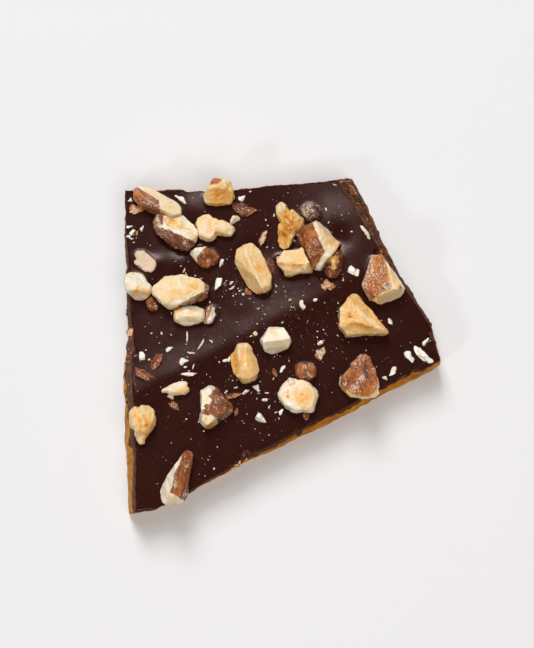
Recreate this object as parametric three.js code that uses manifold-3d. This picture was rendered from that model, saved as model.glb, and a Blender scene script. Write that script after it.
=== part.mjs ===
// Nut chocolate bark: a snapped shard of amber toffee under poured dark chocolate, set with chopped almonds.
// Millimetres, +Z up. The shard lies on its flat toffee underside, the origin under the middle of its box.
import * as THREE from "three";
import { mergeVertices } from "three/addons/utils/BufferGeometryUtils.js";
import Module from "manifold-3d";

const wasm = await Module();
wasm.setup();

// The two layers of the slab.
const TOFFEE_THICKNESS = 4.6;
const CHOCOLATE_THICKNESS = 3.4;
const SLAB_THICKNESS = TOFFEE_THICKNESS + CHOCOLATE_THICKNESS;

// The four corners of the shard, at the rim of its top surface and at the foot where it meets the table.
const CORNERS = {
  frontLeft: { rim: [-31.6, -38.2], foot: [-33.2, -37.6] },
  frontRight: { rim: [35.3, -4.7], foot: [35.2, -4.9] },
  backRight: { rim: [12.7, 35.9], foot: [16.5, 38.2] },
  backLeft: { rim: [-34.5, 33.6], foot: [-34.7, 33.7] },
};

// The four breaks. Each runs straight between its bends: a bend is a share of the way along, and how far the
// break stands out there at the rim and at the foot. side is +1 where outwards lies to the right of its run.
const BREAKS = {
  front: { from: "frontLeft", to: "frontRight", side: 1, seed: 1,
    bends: [[0.06, 1.6, 1.0], [0.4, -0.1, 0.5], [0.68, -0.3, 0.7]] },
  right: { from: "frontRight", to: "backRight", side: 1, seed: 2,
    bends: [[0.17, 1.8, 2.1], [0.6, 0.2, 0.1]] },
  back: { from: "backLeft", to: "backRight", side: -1, seed: 3,
    bends: [[0.2, -0.6, -0.6], [0.4, -1.1, -1.3], [0.9, -0.2, -1.6]] },
  left: { from: "frontLeft", to: "backLeft", side: -1, seed: 4,
    bends: [[0.4, -0.4, 0.9], [0.55, -0.6, 0.1]] },
};
// Each break also wanders at its rim and is craggy on its face, but runs calm into its corners.
const RIM_WANDER = 0.3;
const FACE_CRAG = 0.5;
const WANDER_PITCH = 5.5;
const CRAG_PITCH = 2.4;
const CRAG_SHEAR = 17;
const CORNER_CALM = 8;

// The marks that the spatula and the nuts left in the chocolate before it set.
const RIDGE = {
  from: [-32.6, -13.2], to: [19.4, 14.6], height: 0.72, runUp: 4.4, fall: 2.2, crest: 0.6, fade: 10,
};
const MOUNDS = [
  { at: [-17.8, 28.8], radius: 4.2, height: 0.55 },
  { at: [-22.6, 17.2], radius: 3.2, height: 0.5 },
  { at: [-27.0, 16.8], radius: 1.8, height: 0.35 },
  { at: [-30.1, 13.5], radius: 2.6, height: 0.35 },
  { at: [15.5, 24.5], radius: 9.0, height: 0.85 },
  { at: [16.4, 20.2], radius: 3.4, height: -0.55 },
  { at: [-3.1, 20.7], radius: 5.0, height: -0.25 },
];

// How finely the slab is divided.
const GRID = 24;
const CHOCOLATE_ROWS = 3;
const TOFFEE_ROWS = 3;

// Almond pieces. at is the middle of the piece; length, width and height are those of its kernel, whose long
// axis is turned from +X; taper narrows the far end, square is its superellipsoid power, sunk is its depth in
// the chocolate. A chop is a knife cut: the bearing and pitch that its face looks along, and its reach from
// the middle. Lobes are further kernels grown onto the first, and a pit is one hollowed out of it.
const ALMONDS = [
  { name: "almond_sliver_back_left", at: [-27.0, 30.1], length: 12.6, width: 5.2, height: 5.0, turn: -30,
    square: 3, sunk: 1.0, chops: [[60, 48, 1.3], [0, 0, 5.1], [180, 0, 5.4], [248, 10, 1.8], [290, 0, 4.0]] },
  { name: "almond_cup", at: [-23.1, 24.3], length: 10.6, width: 7.2, height: 5.6, turn: -38,
    square: 2.6, sunk: 1.1, chops: [[55, 62, 1.5]],
    pit: { at: [-0.6, 1.3, 1.9], size: [4.4, 2.4, 2.6], turn: -38 } },
  { name: "almond_back_edge", at: [-13.7, 32.8], length: 7.4, width: 6.8, height: 5.6, turn: 10,
    square: 3, sunk: 1.2,
    chops: [[152, 8, 2.4], [14, 6, 3.2], [84, 10, 2.9], [276, 42, 2.2], [272, 0, 2.7]] },
  { name: "almond_two_lobes", at: [-16.2, 24.7], length: 6.0, width: 4.5, height: 4.0, turn: -72,
    square: 3, sunk: 1.0, chops: [[90, 68, 1.4]],
    lobes: [{ at: [3.0, 0.2, -0.2], size: [6.2, 3.4, 3.2], turn: -24 }] },
  { name: "almond_brown_block", at: [-16.8, 18.2], length: 6.6, width: 5.8, height: 4.6, turn: -20,
    square: 2.8, sunk: 1.0, chops: [[214, 0, 2.0], [35, 20, 2.6], [312, 10, 2.6], [150, 50, 1.9]] },
  { name: "almond_flat_slice", at: [-29.9, 17.4], length: 6.0, width: 4.0, height: 2.4, turn: -36,
    square: 2.6, sunk: 1.5, chops: [[90, 88, 0.7], [180, 0, 2.6]] },
  { name: "almond_left_edge", at: [-31.5, 11.5], length: 7.0, width: 5.4, height: 4.8, turn: -46,
    square: 2.8, sunk: 1.1, chops: [[62, 52, 1.7], [184, 5, 2.7], [262, 25, 2.1], [228, 0, 2.3]] },
  { name: "almond_long_slice", at: [-22.1, 10.9], length: 13.0, width: 9.2, height: 5.6, turn: 4,
    square: 2.6, sunk: 1.0,
    chops: [
      [100, 72, 1.8], [290, 5, 3.6], [228, 0, 5.0], [95, 0, 3.1], [62, 0, 3.6], [135, 0, 4.4], [180, 0, 6.0],
    ] },
  { name: "almond_oval", at: [-20.0, 5.1], length: 7.2, width: 4.5, height: 4.2, turn: 4,
    square: 2.6, sunk: 1.0, chops: [[84, 48, 1.5], [272, 42, 1.7]] },
  { name: "almond_nib_half", at: [-15.3, 5.3], length: 4.2, width: 2.6, height: 2.8, turn: 60,
    square: 3.2, sunk: 0.8, chops: [[30, 50, 0.9]] },
  { name: "almond_nib_brown", at: [-28.3, 7.9], length: 3.6, width: 2.2, height: 2.2, turn: -62,
    square: 3, sunk: 0.8, chops: [] },
  { name: "almond_long_middle", at: [-5.8, 15.4], length: 11.8, width: 6.6, height: 5.6, turn: -66,
    square: 2.8, sunk: 1.0, chops: [[212, 34, 2.1], [30, 62, 1.8], [24, 0, 3.0]] },
  { name: "almond_craggy", at: [1.2, 23.4], length: 7.0, width: 3.9, height: 4.4, turn: 82,
    square: 2.6, sunk: 1.0, chops: [[180, 40, 1.8]],
    lobes: [
      { at: [2.0, 3.0, 0.2], size: [4.6, 3.6, 4.0], turn: -40 },
      { at: [-0.6, 4.8, 0.1], size: [5.0, 2.6, 3.6], turn: -70 },
    ] },
  { name: "almond_cube", at: [3.0, 16.7], length: 9.0, width: 8.0, height: 5.6, turn: 12,
    square: 5, sunk: 1.2,
    chops: [[24, 0, 3.1], [205, 0, 3.1], [101, 0, 2.9], [278, 0, 2.5], [278, 40, 2.6], [96, 74, 2.0]] },
  { name: "almond_tall_wedge", at: [8.9, 20.2], length: 11.2, width: 9.0, height: 7.6, turn: -55,
    square: 3, sunk: 1.2,
    chops: [[350, 52, 1.9], [40, 22, 3.0], [326, 0, 2.9], [196, 12, 3.4], [205, 48, 3.2]] },
  { name: "almond_low_husk", at: [11.9, 16.7], length: 6.8, width: 3.8, height: 3.8, turn: 84,
    square: 2.6, sunk: 1.0, chops: [[0, 50, 1.3]] },
  { name: "almond_round_brown", at: [6.7, 28.3], length: 5.0, width: 4.2, height: 3.8, turn: -48,
    square: 2.6, sunk: 0.9, chops: [[110, 62, 1.4]] },
  { name: "almond_right_edge", at: [22.3, 13.1], length: 11.6, width: 9.2, height: 6.4, turn: -66,
    square: 2.8, sunk: 1.2,
    chops: [[33, 12, 2.9], [294, 20, 4.3], [163, 4, 3.75], [168, 68, 2.4], [90, 0, 5.0]] },
  { name: "almond_right_wedge", at: [17.7, 3.6], length: 13.0, width: 11.2, height: 6.4, turn: -45,
    square: 2.8, sunk: 1.2,
    chops: [
      [39, 5, 3.3], [270, 0, 3.0], [140, 6, 5.4], [180, 0, 4.8], [224, 0, 4.3], [265, 42, 2.9], [60, 58, 2.3],
    ] },
  { name: "almond_white_block", at: [-1.0, -0.3], length: 6.8, width: 6.0, height: 6.0, turn: 22,
    square: 4, sunk: 1.2,
    chops: [[92, 76, 2.2], [276, 20, 2.3], [32, 0, 2.8], [150, 10, 2.8], [86, 0, 2.7]] },
  { name: "almond_golden", at: [-7.9, -5.4], length: 9.2, width: 5.8, height: 4.8, turn: -76,
    square: 3, sunk: 1.0, chops: [[150, 46, 1.9], [18, 50, 2.0], [90, 0, 4.3], [225, 0, 3.3]] },
  { name: "almond_round_pale", at: [4.0, -12.9], length: 8.6, width: 7.6, height: 4.6, turn: -25,
    square: 2.6, sunk: 1.0, chops: [[120, 76, 1.5], [272, 10, 3.6]] },
  { name: "almond_skin_chip", at: [5.6, -7.3], length: 4.7, width: 3.9, height: 2.8, turn: 0,
    square: 3.2, sunk: 1.0, chops: [[90, 80, 0.9]] },
  { name: "almond_teardrop", at: [17.7, -8.8], length: 10.8, width: 8.0, height: 4.8, turn: 80, taper: 0.5,
    square: 2.6, sunk: 1.1, chops: [[95, 80, 1.5], [270, 0, 4.4], [218, 0, 4.6]] },
  { name: "almond_heart", at: [-14.6, -15.4], length: 9.0, width: 9.2, height: 5.4, turn: -48,
    square: 2.8, sunk: 1.1,
    chops: [[307, 10, 2.9], [45, 25, 2.6], [180, 5, 2.7], [90, 78, 2.0], [0, 0, 4.3]] },
  { name: "almond_nibbed", at: [-30.0, -17.9], length: 6.2, width: 6.0, height: 5.0, turn: -84,
    square: 2.6, sunk: 1.0, chops: [[60, 54, 2.0]],
    lobes: [{ at: [-0.3, -3.2, -0.7], size: [4.6, 2.4, 2.6], turn: -88 }] },
  { name: "almond_front_wedge", at: [-22.0, -30.8], length: 13.0, width: 6.6, height: 6.0, turn: 68,
    taper: 0.5, square: 2.8, sunk: 1.2,
    chops: [[350, 2, 2.2], [180, 40, 2.3], [276, 20, 4.6], [10, 52, 2.3], [145, 0, 2.2]] },
  { name: "almond_splinter", at: [-22.9, -11.2], length: 6.4, width: 2.9, height: 2.6, turn: 190, taper: 0.3,
    square: 2.6, sunk: 0.8, chops: [[90, 60, 0.9]] },
];
const SOCKET_GAP = 0.3;
const KERNEL_SIDES = 12;
const KERNEL_BANDS = 7;
const KNIFE = 40;

// Chips of nut and flakes of skin too small to be pieces of their own, stuck flat to the chocolate:
// middle x and y, length, width and turn.
const CHIPS = [
  [18.9, 23.8, 3.4, 1.3, -48], [16.1, 14.9, 3.4, 1.4, -30], [31.7, -3.8, 4.4, 1.9, -37],
  [28.5, -4.2, 2.3, 1.5, -45], [24.7, -7.0, 2.8, 1.7, 30], [9.0, -3.2, 3.0, 1.9, 70],
  [-3.8, -17.8, 2.8, 2.4, 0], [-5.4, -10.8, 2.2, 1.8, 0], [-13.4, 12.1, 2.5, 1.9, 40],
  [-9.8, 27.0, 2.4, 1.8, 20], [-8.5, 31.7, 1.9, 1.5, 30], [-21.8, 31.6, 2.4, 1.0, -35],
  [10.5, 11.7, 3.0, 2.2, -10], [-33.0, 24.1, 3.4, 1.4, 88], [-8.4, 29.1, 4.8, 2.2, -5],
  [-30.0, -8.3, 4.6, 1.9, -35], [-27.1, -5.1, 3.4, 2.0, 45], [-3.6, 22.7, 3.6, 1.1, 65],
  [5.5, -17.9, 2.0, 1.5, 70], [-32.0, 28.9, 2.8, 2.0, 15], [-32.6, 1.7, 2.4, 1.6, 60],
  [-23.1, -14.7, 2.6, 1.1, -38], [-10.3, -12.6, 2.8, 1.1, 15], [-1.5, 17.1, 3.6, 1.3, -70],
  [-30.4, -4.0, 2.6, 1.1, -70], [-20.2, -8.0, 3.2, 1.0, 8], [-17.2, -1.3, 2.6, 0.9, 60],
  [4.9, 7.5, 2.2, 1.4, 50],
];
const CHIP_THICKNESS = 1.0;

const COLOURS = {
  toffee: new THREE.MeshStandardMaterial({ color: 0xa8660f, roughness: 0.35, metalness: 0 }),
  chocolate: new THREE.MeshStandardMaterial({ color: 0x361a16, roughness: 0.38, metalness: 0 }),
  almond: new THREE.MeshStandardMaterial({ color: 0xe9cf9c, roughness: 0.7, metalness: 0 }),
};

// A repeatable number between 0 and 1 for a whole-number place and a seed.
function scatter(place, seed) {
  const wave = Math.sin(place * 127.1 + seed * 311.7) * 43758.5453;
  return wave - Math.floor(wave);
}

// Smooth noise between -1 and 1 along one line.
function wander(x, seed) {
  const cell = Math.floor(x);
  const part = x - cell;
  const ease = part * part * (3 - 2 * part);
  return 2 * THREE.MathUtils.lerp(scatter(cell, seed), scatter(cell + 1, seed), ease) - 1;
}

// How far a break stands out from the straight line between its corners.
function bendAt(edge, t, level) {
  const bends = [[0, 0, 0], ...edge.bends, [1, 0, 0]];
  const next = Math.max(1, bends.findIndex(([share]) => share >= t));
  const [[t0, rim0, foot0], [t1, rim1, foot1]] = [bends[next - 1], bends[next]];
  const part = (t - t0) / (t1 - t0);
  const { lerp } = THREE.MathUtils;
  return lerp(lerp(rim0, rim1, part), lerp(foot0, foot1, part), level);
}

// The point at share t of a break, at a level from 0 at the rim to 1 at the foot.
function breakPoint(edge, t, level) {
  const from = CORNERS[edge.from];
  const to = CORNERS[edge.to];
  const start = new THREE.Vector2(...from.rim).lerp(new THREE.Vector2(...from.foot), level);
  const end = new THREE.Vector2(...to.rim).lerp(new THREE.Vector2(...to.foot), level);
  const along = end.clone().sub(start);
  const length = along.length();
  along.normalize();
  const outwards = new THREE.Vector2(along.y, -along.x).multiplyScalar(edge.side);
  const distance = t * length;
  const nearCorner = Math.min(1, CORNER_CALM * t, CORNER_CALM * (1 - t));
  const face = 4 * level * (1 - level);
  const rough =
    RIM_WANDER * wander(distance / WANDER_PITCH, edge.seed) +
    FACE_CRAG * face * wander(distance / CRAG_PITCH + CRAG_SHEAR * level, edge.seed + 9);
  const out = bendAt(edge, t, level) + nearCorner * rough;
  return start.addScaledVector(along, distance).addScaledVector(outwards, out);
}

// A Coons patch: the point at shares u, v of the slab at one level, bounded by the four breaks.
function slabPoint(u, v, level) {
  const front = breakPoint(BREAKS.front, u, level);
  const back = breakPoint(BREAKS.back, u, level);
  const left = breakPoint(BREAKS.left, v, level);
  const right = breakPoint(BREAKS.right, v, level);
  const ruled = front.lerp(back, v).add(left.lerp(right, u));
  const bottom = breakPoint(BREAKS.front, 0, level).lerp(breakPoint(BREAKS.front, 1, level), u);
  const top = breakPoint(BREAKS.back, 0, level).lerp(breakPoint(BREAKS.back, 1, level), u);
  return ruled.sub(bottom.lerp(top, v));
}

// The slab's edge as a ring of shares u, v, counter-clockwise from the front left corner.
const RING = [];
for (const [u, v, stepU, stepV] of [[0, 0, 1, 0], [1, 0, 0, 1], [1, 1, -1, 0], [0, 1, 0, -1]]) {
  for (let i = 0; i < GRID; i++) RING.push([u + (stepU * i) / GRID, v + (stepV * i) / GRID]);
}

// The long wave that the spatula left: a slow rise behind it and a quick fall in front.
function ridgeHeight(x, y) {
  const from = new THREE.Vector2(...RIDGE.from);
  const along = new THREE.Vector2(...RIDGE.to).sub(from);
  const length = along.length();
  along.normalize();
  const place = new THREE.Vector2(x, y).sub(from);
  const travel = place.dot(along);
  const beside = place.x * -along.y + place.y * along.x;
  const behind = (Math.hypot(beside, RIDGE.crest) - RIDGE.crest) / RIDGE.runUp;
  const slope = beside > 0 ? behind : (beside / RIDGE.fall) ** 2;
  const past = Math.max(0, -travel, travel - length) / RIDGE.fade;
  return RIDGE.height * Math.exp(-slope - past * past);
}

// Height of the chocolate's top surface.
function surfaceHeight(x, y) {
  const mounds = MOUNDS.map(({ at, radius, height }) => {
    const away = Math.hypot(x - at[0], y - at[1]) / radius;
    return height * Math.exp(-away * away);
  });
  return SLAB_THICKNESS + ridgeHeight(x, y) + mounds.reduce((sum, height) => sum + height, 0);
}

// A closed layer of the slab between two levels. The flat floor, and a flat roof, are one fan of the ring;
// a roof with relief is the whole patch.
function slabLayer(fromLevel, toLevel, rows, relief) {
  const points = [];
  const faces = [];
  const add = (x, y, z) => points.push(x, y, z) / 3 - 1;
  const heightAt = (level) => SLAB_THICKNESS * (1 - level);
  const rings = [];
  for (let row = 0; row <= rows; row++) {
    const level = THREE.MathUtils.lerp(fromLevel, toLevel, row / rows);
    rings.push(
      RING.map(([u, v]) => {
        const p = slabPoint(u, v, level);
        const roof = row === rows && relief;
        return add(p.x, p.y, roof ? surfaceHeight(p.x, p.y) : heightAt(level));
      }),
    );
  }
  for (let row = 0; row < rows; row++) {
    RING.forEach((_, i) => {
      const next = (i + 1) % RING.length;
      const [a, b, c, d] = [rings[row][i], rings[row][next], rings[row + 1][next], rings[row + 1][i]];
      faces.push(a, b, c, a, c, d);
    });
  }
  const flat = (ring) => {
    const outline = ring.map((i) => new THREE.Vector2(points[3 * i], points[3 * i + 1]));
    return THREE.ShapeUtils.triangulateShape(outline, []).map((face) => face.map((i) => ring[i]));
  };
  flat(rings[0]).forEach(([a, b, c]) => faces.push(a, c, b));
  if (!relief) flat(rings[rows]).forEach(([a, b, c]) => faces.push(a, b, c));
  else faces.push(...reliefRoof(rings[rows], toLevel, add));
  return solidFrom(points, faces);
}

// Triangles of a roof that follows the relief, from the ring's own points inwards.
function reliefRoof(ring, level, add) {
  const edge = new Map(RING.map(([u, v], i) => [Math.round(u * GRID) + "," + Math.round(v * GRID), ring[i]]));
  const grid = [];
  for (let i = 0; i <= GRID; i++) {
    grid.push([]);
    for (let j = 0; j <= GRID; j++) {
      const p = slabPoint(i / GRID, j / GRID, level);
      grid[i].push(edge.get(i + "," + j) ?? add(p.x, p.y, surfaceHeight(p.x, p.y)));
    }
  }
  const faces = [];
  for (let i = 0; i < GRID; i++) {
    for (let j = 0; j < GRID; j++) {
      const [a, b, c, d] = [grid[i][j], grid[i + 1][j], grid[i + 1][j + 1], grid[i][j + 1]];
      faces.push(a, b, c, a, c, d);
    }
  }
  return faces;
}

function solidFrom(points, faces) {
  const mesh = { numProp: 3, vertProperties: new Float32Array(points), triVerts: new Uint32Array(faces) };
  return new wasm.Manifold(new wasm.Mesh(mesh));
}

function solidOf(geometry) {
  geometry.deleteAttribute("normal");
  geometry.deleteAttribute("uv");
  const merged = mergeVertices(geometry, 1e-4);
  return solidFrom(merged.attributes.position.array, merged.index.array);
}

// The direction that a bearing from +X and a pitch above the horizon point in, in degrees.
function direction(bearing, pitch) {
  const [b, p] = [THREE.MathUtils.degToRad(bearing), THREE.MathUtils.degToRad(pitch)];
  return new THREE.Vector3(Math.cos(b) * Math.cos(p), Math.sin(b) * Math.cos(p), Math.sin(p));
}

// The egg-like body that a piece is cut from: a superellipsoid whose far end narrows by the taper.
function kernel(size, square, taper, turn) {
  const geometry = new THREE.SphereGeometry(1, KERNEL_SIDES, KERNEL_BANDS).rotateX(Math.PI / 2);
  const position = geometry.attributes.position;
  for (let i = 0; i < position.count; i++) {
    const p = new THREE.Vector3().fromBufferAttribute(position, i);
    const powers = Math.abs(p.x) ** square + Math.abs(p.y) ** square + Math.abs(p.z) ** square;
    p.multiplyScalar(powers ** (-1 / square));
    const narrow = 1 - taper * p.x;
    position.setXYZ(i, (p.x * size[0]) / 2, (p.y * narrow * size[1]) / 2, (p.z * size[2]) / 2);
  }
  return geometry.rotateZ(THREE.MathUtils.degToRad(turn));
}

// A block whose face is the knife cut's plane, standing on the far side of it.
function knife([bearing, pitch, reach], grow) {
  const facing = direction(bearing, pitch);
  const upright = new THREE.Quaternion().setFromUnitVectors(new THREE.Vector3(0, 0, 1), facing);
  const middle = facing.multiplyScalar(reach + grow + KNIFE / 2);
  const block = new THREE.BoxGeometry(KNIFE, KNIFE, KNIFE).applyQuaternion(upright);
  return solidOf(block.translate(middle.x, middle.y, middle.z));
}

// One almond piece in its place, or, grown on every side, the socket that it presses into the chocolate.
function almond(piece, grow = 0) {
  const { at, length, width, height, turn, square, sunk, chops, taper = 0, lobes = [], pit } = piece;
  const size = [length + 2 * grow, width + 2 * grow, height + 2 * grow];
  let solid = solidOf(kernel(size, square, taper, turn));
  for (const lobe of lobes) {
    const lobeSize = lobe.size.map((side) => side + 2 * grow);
    solid = solid.add(solidOf(kernel(lobeSize, square, 0, lobe.turn).translate(...lobe.at)));
  }
  for (const chop of chops) solid = solid.subtract(knife(chop, grow));
  if (pit && grow === 0) {
    solid = solid.subtract(solidOf(kernel(pit.size, 2, 0, pit.turn).translate(...pit.at)));
  }
  return solid.translate([at[0], at[1], surfaceHeight(at[0], at[1]) + height / 2 - sunk]);
}

// A flat chip lying on the chocolate, half of it sunk in.
function chip([x, y, length, width, turn]) {
  const stone = new THREE.IcosahedronGeometry(0.5, 0).scale(length, width, CHIP_THICKNESS);
  return solidOf(stone.rotateZ(THREE.MathUtils.degToRad(turn)).translate(x, y, surfaceHeight(x, y)));
}

function largestBody(solid) {
  return solid.decompose().reduce((most, body) => (body.volume() > most.volume() ? body : most));
}

function meshOf(name, solid, material) {
  const made = largestBody(solid).getMesh();
  const geometry = new THREE.BufferGeometry();
  geometry.setAttribute("position", new THREE.BufferAttribute(made.vertProperties, 3));
  geometry.setIndex(new THREE.BufferAttribute(made.triVerts, 1));
  const mesh = new THREE.Mesh(geometry, material);
  mesh.name = name;
  return mesh;
}

const bark = new THREE.Group();
bark.name = "nut_chocolate_bark";

const interfaceLevel = CHOCOLATE_THICKNESS / SLAB_THICKNESS;
bark.add(meshOf("toffee", slabLayer(1, interfaceLevel, TOFFEE_ROWS, false), COLOURS.toffee));

// Where two pieces lean on each other, the one placed later is cut clear of the earlier.
const placed = [];
for (const piece of ALMONDS) {
  let solid = almond(piece);
  for (const other of placed) solid = solid.subtract(other);
  placed.push(almond(piece, SOCKET_GAP));
  bark.add(meshOf(piece.name, solid, COLOURS.almond));
}

let chocolate = slabLayer(interfaceLevel, 0, CHOCOLATE_ROWS, true);
for (const spec of CHIPS) chocolate = chocolate.add(chip(spec));
for (const socket of placed) chocolate = chocolate.subtract(socket);
bark.add(meshOf("chocolate", chocolate, COLOURS.chocolate));

export default bark;
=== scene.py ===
"""Nut chocolate bark: a snapped shard of toffee under dark chocolate, set with chopped roasted almonds."""
import math

import bmesh
import bpy
import numpy as np
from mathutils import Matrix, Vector
from mathutils.bvhtree import BVHTree
from mathutils.kdtree import KDTree


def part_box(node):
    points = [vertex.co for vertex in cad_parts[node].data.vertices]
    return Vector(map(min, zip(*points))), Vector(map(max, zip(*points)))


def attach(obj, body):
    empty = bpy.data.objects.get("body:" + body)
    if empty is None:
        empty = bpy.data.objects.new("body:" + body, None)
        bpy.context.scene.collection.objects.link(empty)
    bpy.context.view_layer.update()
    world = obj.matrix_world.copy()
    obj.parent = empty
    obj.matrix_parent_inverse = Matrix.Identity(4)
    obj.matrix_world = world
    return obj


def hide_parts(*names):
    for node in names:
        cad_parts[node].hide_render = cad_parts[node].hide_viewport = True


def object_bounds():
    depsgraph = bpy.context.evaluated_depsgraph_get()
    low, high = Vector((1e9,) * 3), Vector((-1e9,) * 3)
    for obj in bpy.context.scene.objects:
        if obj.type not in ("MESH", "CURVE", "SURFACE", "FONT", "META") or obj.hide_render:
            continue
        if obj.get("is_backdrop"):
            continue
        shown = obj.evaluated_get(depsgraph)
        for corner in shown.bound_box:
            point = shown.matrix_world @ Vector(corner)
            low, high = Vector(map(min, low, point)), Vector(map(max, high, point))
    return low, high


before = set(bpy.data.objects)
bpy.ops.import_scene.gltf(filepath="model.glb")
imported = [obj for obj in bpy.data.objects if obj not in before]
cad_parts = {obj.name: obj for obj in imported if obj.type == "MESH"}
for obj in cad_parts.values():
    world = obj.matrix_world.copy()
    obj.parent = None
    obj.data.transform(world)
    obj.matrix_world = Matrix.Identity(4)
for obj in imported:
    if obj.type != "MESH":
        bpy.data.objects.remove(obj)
cad_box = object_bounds()

# Toffee: the lower half of the slab, hard amber toffee poured on a flat tray and snapped when it was cold.
# Its underside is flat from the tray, its sides are glassy breaks that crumbled pale along the foot.
MM = 0.001
SLAB_THICKNESS = 8.0
CORNERS = {
    "front_left": {"rim": (-31.6, -38.2), "foot": (-33.2, -37.6)},
    "front_right": {"rim": (35.3, -4.7), "foot": (35.2, -4.9)},
    "back_right": {"rim": (12.7, 35.9), "foot": (16.5, 38.2)},
    "back_left": {"rim": (-34.5, 33.6), "foot": (-34.7, 33.7)},
}
# Each break runs straight between bends: share of the way, then how far it stands out at rim and foot.
# A nick is a share of the way, and the width and depth of a chip broken out of the rim there.
# The seam is the height of the toffee's upper edge at shares of the way.
BREAKS = {
    "front": {
        "from": "front_left", "to": "front_right", "side": 1, "seed": 1,
        "bends": [(0.06, 1.6, 1.0), (0.4, -0.1, 0.5), (0.68, -0.3, 0.7)],
        "nicks": [(0.915, 2.6, 0.9), (0.52, 1.6, 0.5), (0.36, 1.2, 0.35)],
        "seam": [(0, 4.6), (0.4, 4.2), (0.52, 4.6), (0.6, 6.6), (0.8, 7.0), (0.9, 6.6), (1, 6.6)],
    },
    "right": {
        "from": "front_right", "to": "back_right", "side": 1, "seed": 2,
        "bends": [(0.17, 1.8, 2.1), (0.6, 0.2, 0.1)],
        "nicks": [(0.59, 1.6, 0.7), (0.12, 2.2, 0.6)],
        "seam": [(0, 6.6), (0.05, 3.2), (0.3, 1.3), (0.7, 0.9), (0.93, 1.2), (1, 2.2)],
    },
    "back": {
        "from": "back_left", "to": "back_right", "side": -1, "seed": 3,
        "bends": [(0.2, -0.6, -0.6), (0.4, -1.1, -1.3), (0.9, -0.2, -1.6)],
        "nicks": [(0.3, 2.4, 0.3)],
        "seam": [(0, 4.6), (0.6, 4.6), (1, 2.2)],
    },
    "left": {
        "from": "front_left", "to": "back_left", "side": -1, "seed": 4,
        "bends": [(0.2, -0.2, 0.9), (0.4, -0.4, 1.0), (0.55, -0.6, 0.0), (0.68, -0.4, -0.5)],
        "nicks": [(0.5, 2.0, 0.6), (0.73, 1.2, 0.5)],
        "seam": [(0, 4.8), (0.27, 4.4), (0.36, 1.6), (0.7, 1.2), (1, 1.6)],
    },
}
RIM_WANDER, WANDER_PITCH = 0.3, 5.5
FACE_CRAG, CRAG_PITCH, CRAG_SHEAR = 0.5, 2.4, 17
NICK_RAGGED, NICK_PITCH = 0.5, 0.5
CORNER_CALM = 8
EDGE_STEPS = 256
SEAM_SCALLOPS = [(2.4, 0.3), (0.9, 0.12)]
TOFFEE_ROWS = 16
TOFFEE_CRAGS = [(3.2, 0.28), (1.2, 0.14), (0.45, 0.05)]
FOOT_BEVEL, FOOT_BEVEL_SHARE = 0.25, 0.125
SEAM_TUCK, SEAM_TUCK_POWER = 0.12, 6
# The foot crumbled in a fringe of ragged height, and the left break all the way up.
FRINGE_LOW, FRINGE_RAGGED, FRINGE_STEPS = 0.04, 0.14, 23
LEFT_CRUMBLED = 0.8
# Chocolate smeared down the right break: sides of the slab passed from the front left corner, and how much.
SMEAR = [(1.03, 0), (1.1, 1), (2.0, 1), (2.02, 0)]
# Noise is counted from this many lumps off, so that the slab has no place below zero.
NOISE_ORIGIN = 500


def hashed(place, seed):
    """A repeatable number from 0 to 1 for each whole-number place."""
    wave = np.sin(place * 127.1 + seed * 311.7) * 43758.5453
    return wave - np.floor(wave)


def mix(low, high, share):
    return low + (high - low) * share


def wander(x, seed):
    """Smooth noise from -1 to 1 along a line."""
    cell = np.floor(x)
    part = x - cell
    return 2 * mix(hashed(cell, seed), hashed(cell + 1, seed), part * part * (3 - 2 * part)) - 1


def lattice(cells, seed):
    """A repeatable number from 0 to 1 for each corner of a cubic lattice."""
    mixed = cells.astype(np.uint32) * np.array([374761393, 668265263, 2246822519], np.uint32)
    code = mixed[..., 0] ^ mixed[..., 1] ^ mixed[..., 2] ^ np.uint32(seed * 97531 + 12345)
    code = (code ^ (code >> np.uint32(13))) * np.uint32(1274126177)
    return ((code ^ (code >> np.uint32(16))) & np.uint32(0xFFFF)) / 65535


def lumps(points, pitch, seed):
    """Smooth noise from -1 to 1 in space, with lumps of the given pitch."""
    spot = points / pitch + NOISE_ORIGIN
    cell = np.floor(spot).astype(np.int64)
    part = spot - cell
    ease = part * part * (3 - 2 * part)
    total = 0
    for corner in np.ndindex(2, 2, 2):
        weight = np.prod(np.where(corner, ease, 1 - ease), axis=-1)
        total = total + weight * lattice(cell + np.array(corner), seed)
    return 2 * total - 1


def dishes(points, pitch, seed):
    """Shallow dishes with sharp rims, from 0 in their middles: the squared distance to scattered points."""
    spot = points / pitch + NOISE_ORIGIN
    cell = np.floor(spot).astype(np.int64)
    nearest = np.full(len(points), np.inf)
    for step in np.ndindex(3, 3, 3):
        there = cell + np.array(step) - 1
        middle = there + np.stack([lattice(there, seed + 50 * axis) for axis in range(3)], -1)
        nearest = np.minimum(nearest, np.sum((spot - middle) ** 2, axis=1))
    return nearest


def crags(points, steps, seed):
    """Several sizes of lumps on top of each other: pitch and height of each."""
    return sum(height * lumps(points, pitch, seed + i) for i, (pitch, height) in enumerate(steps))


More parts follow.
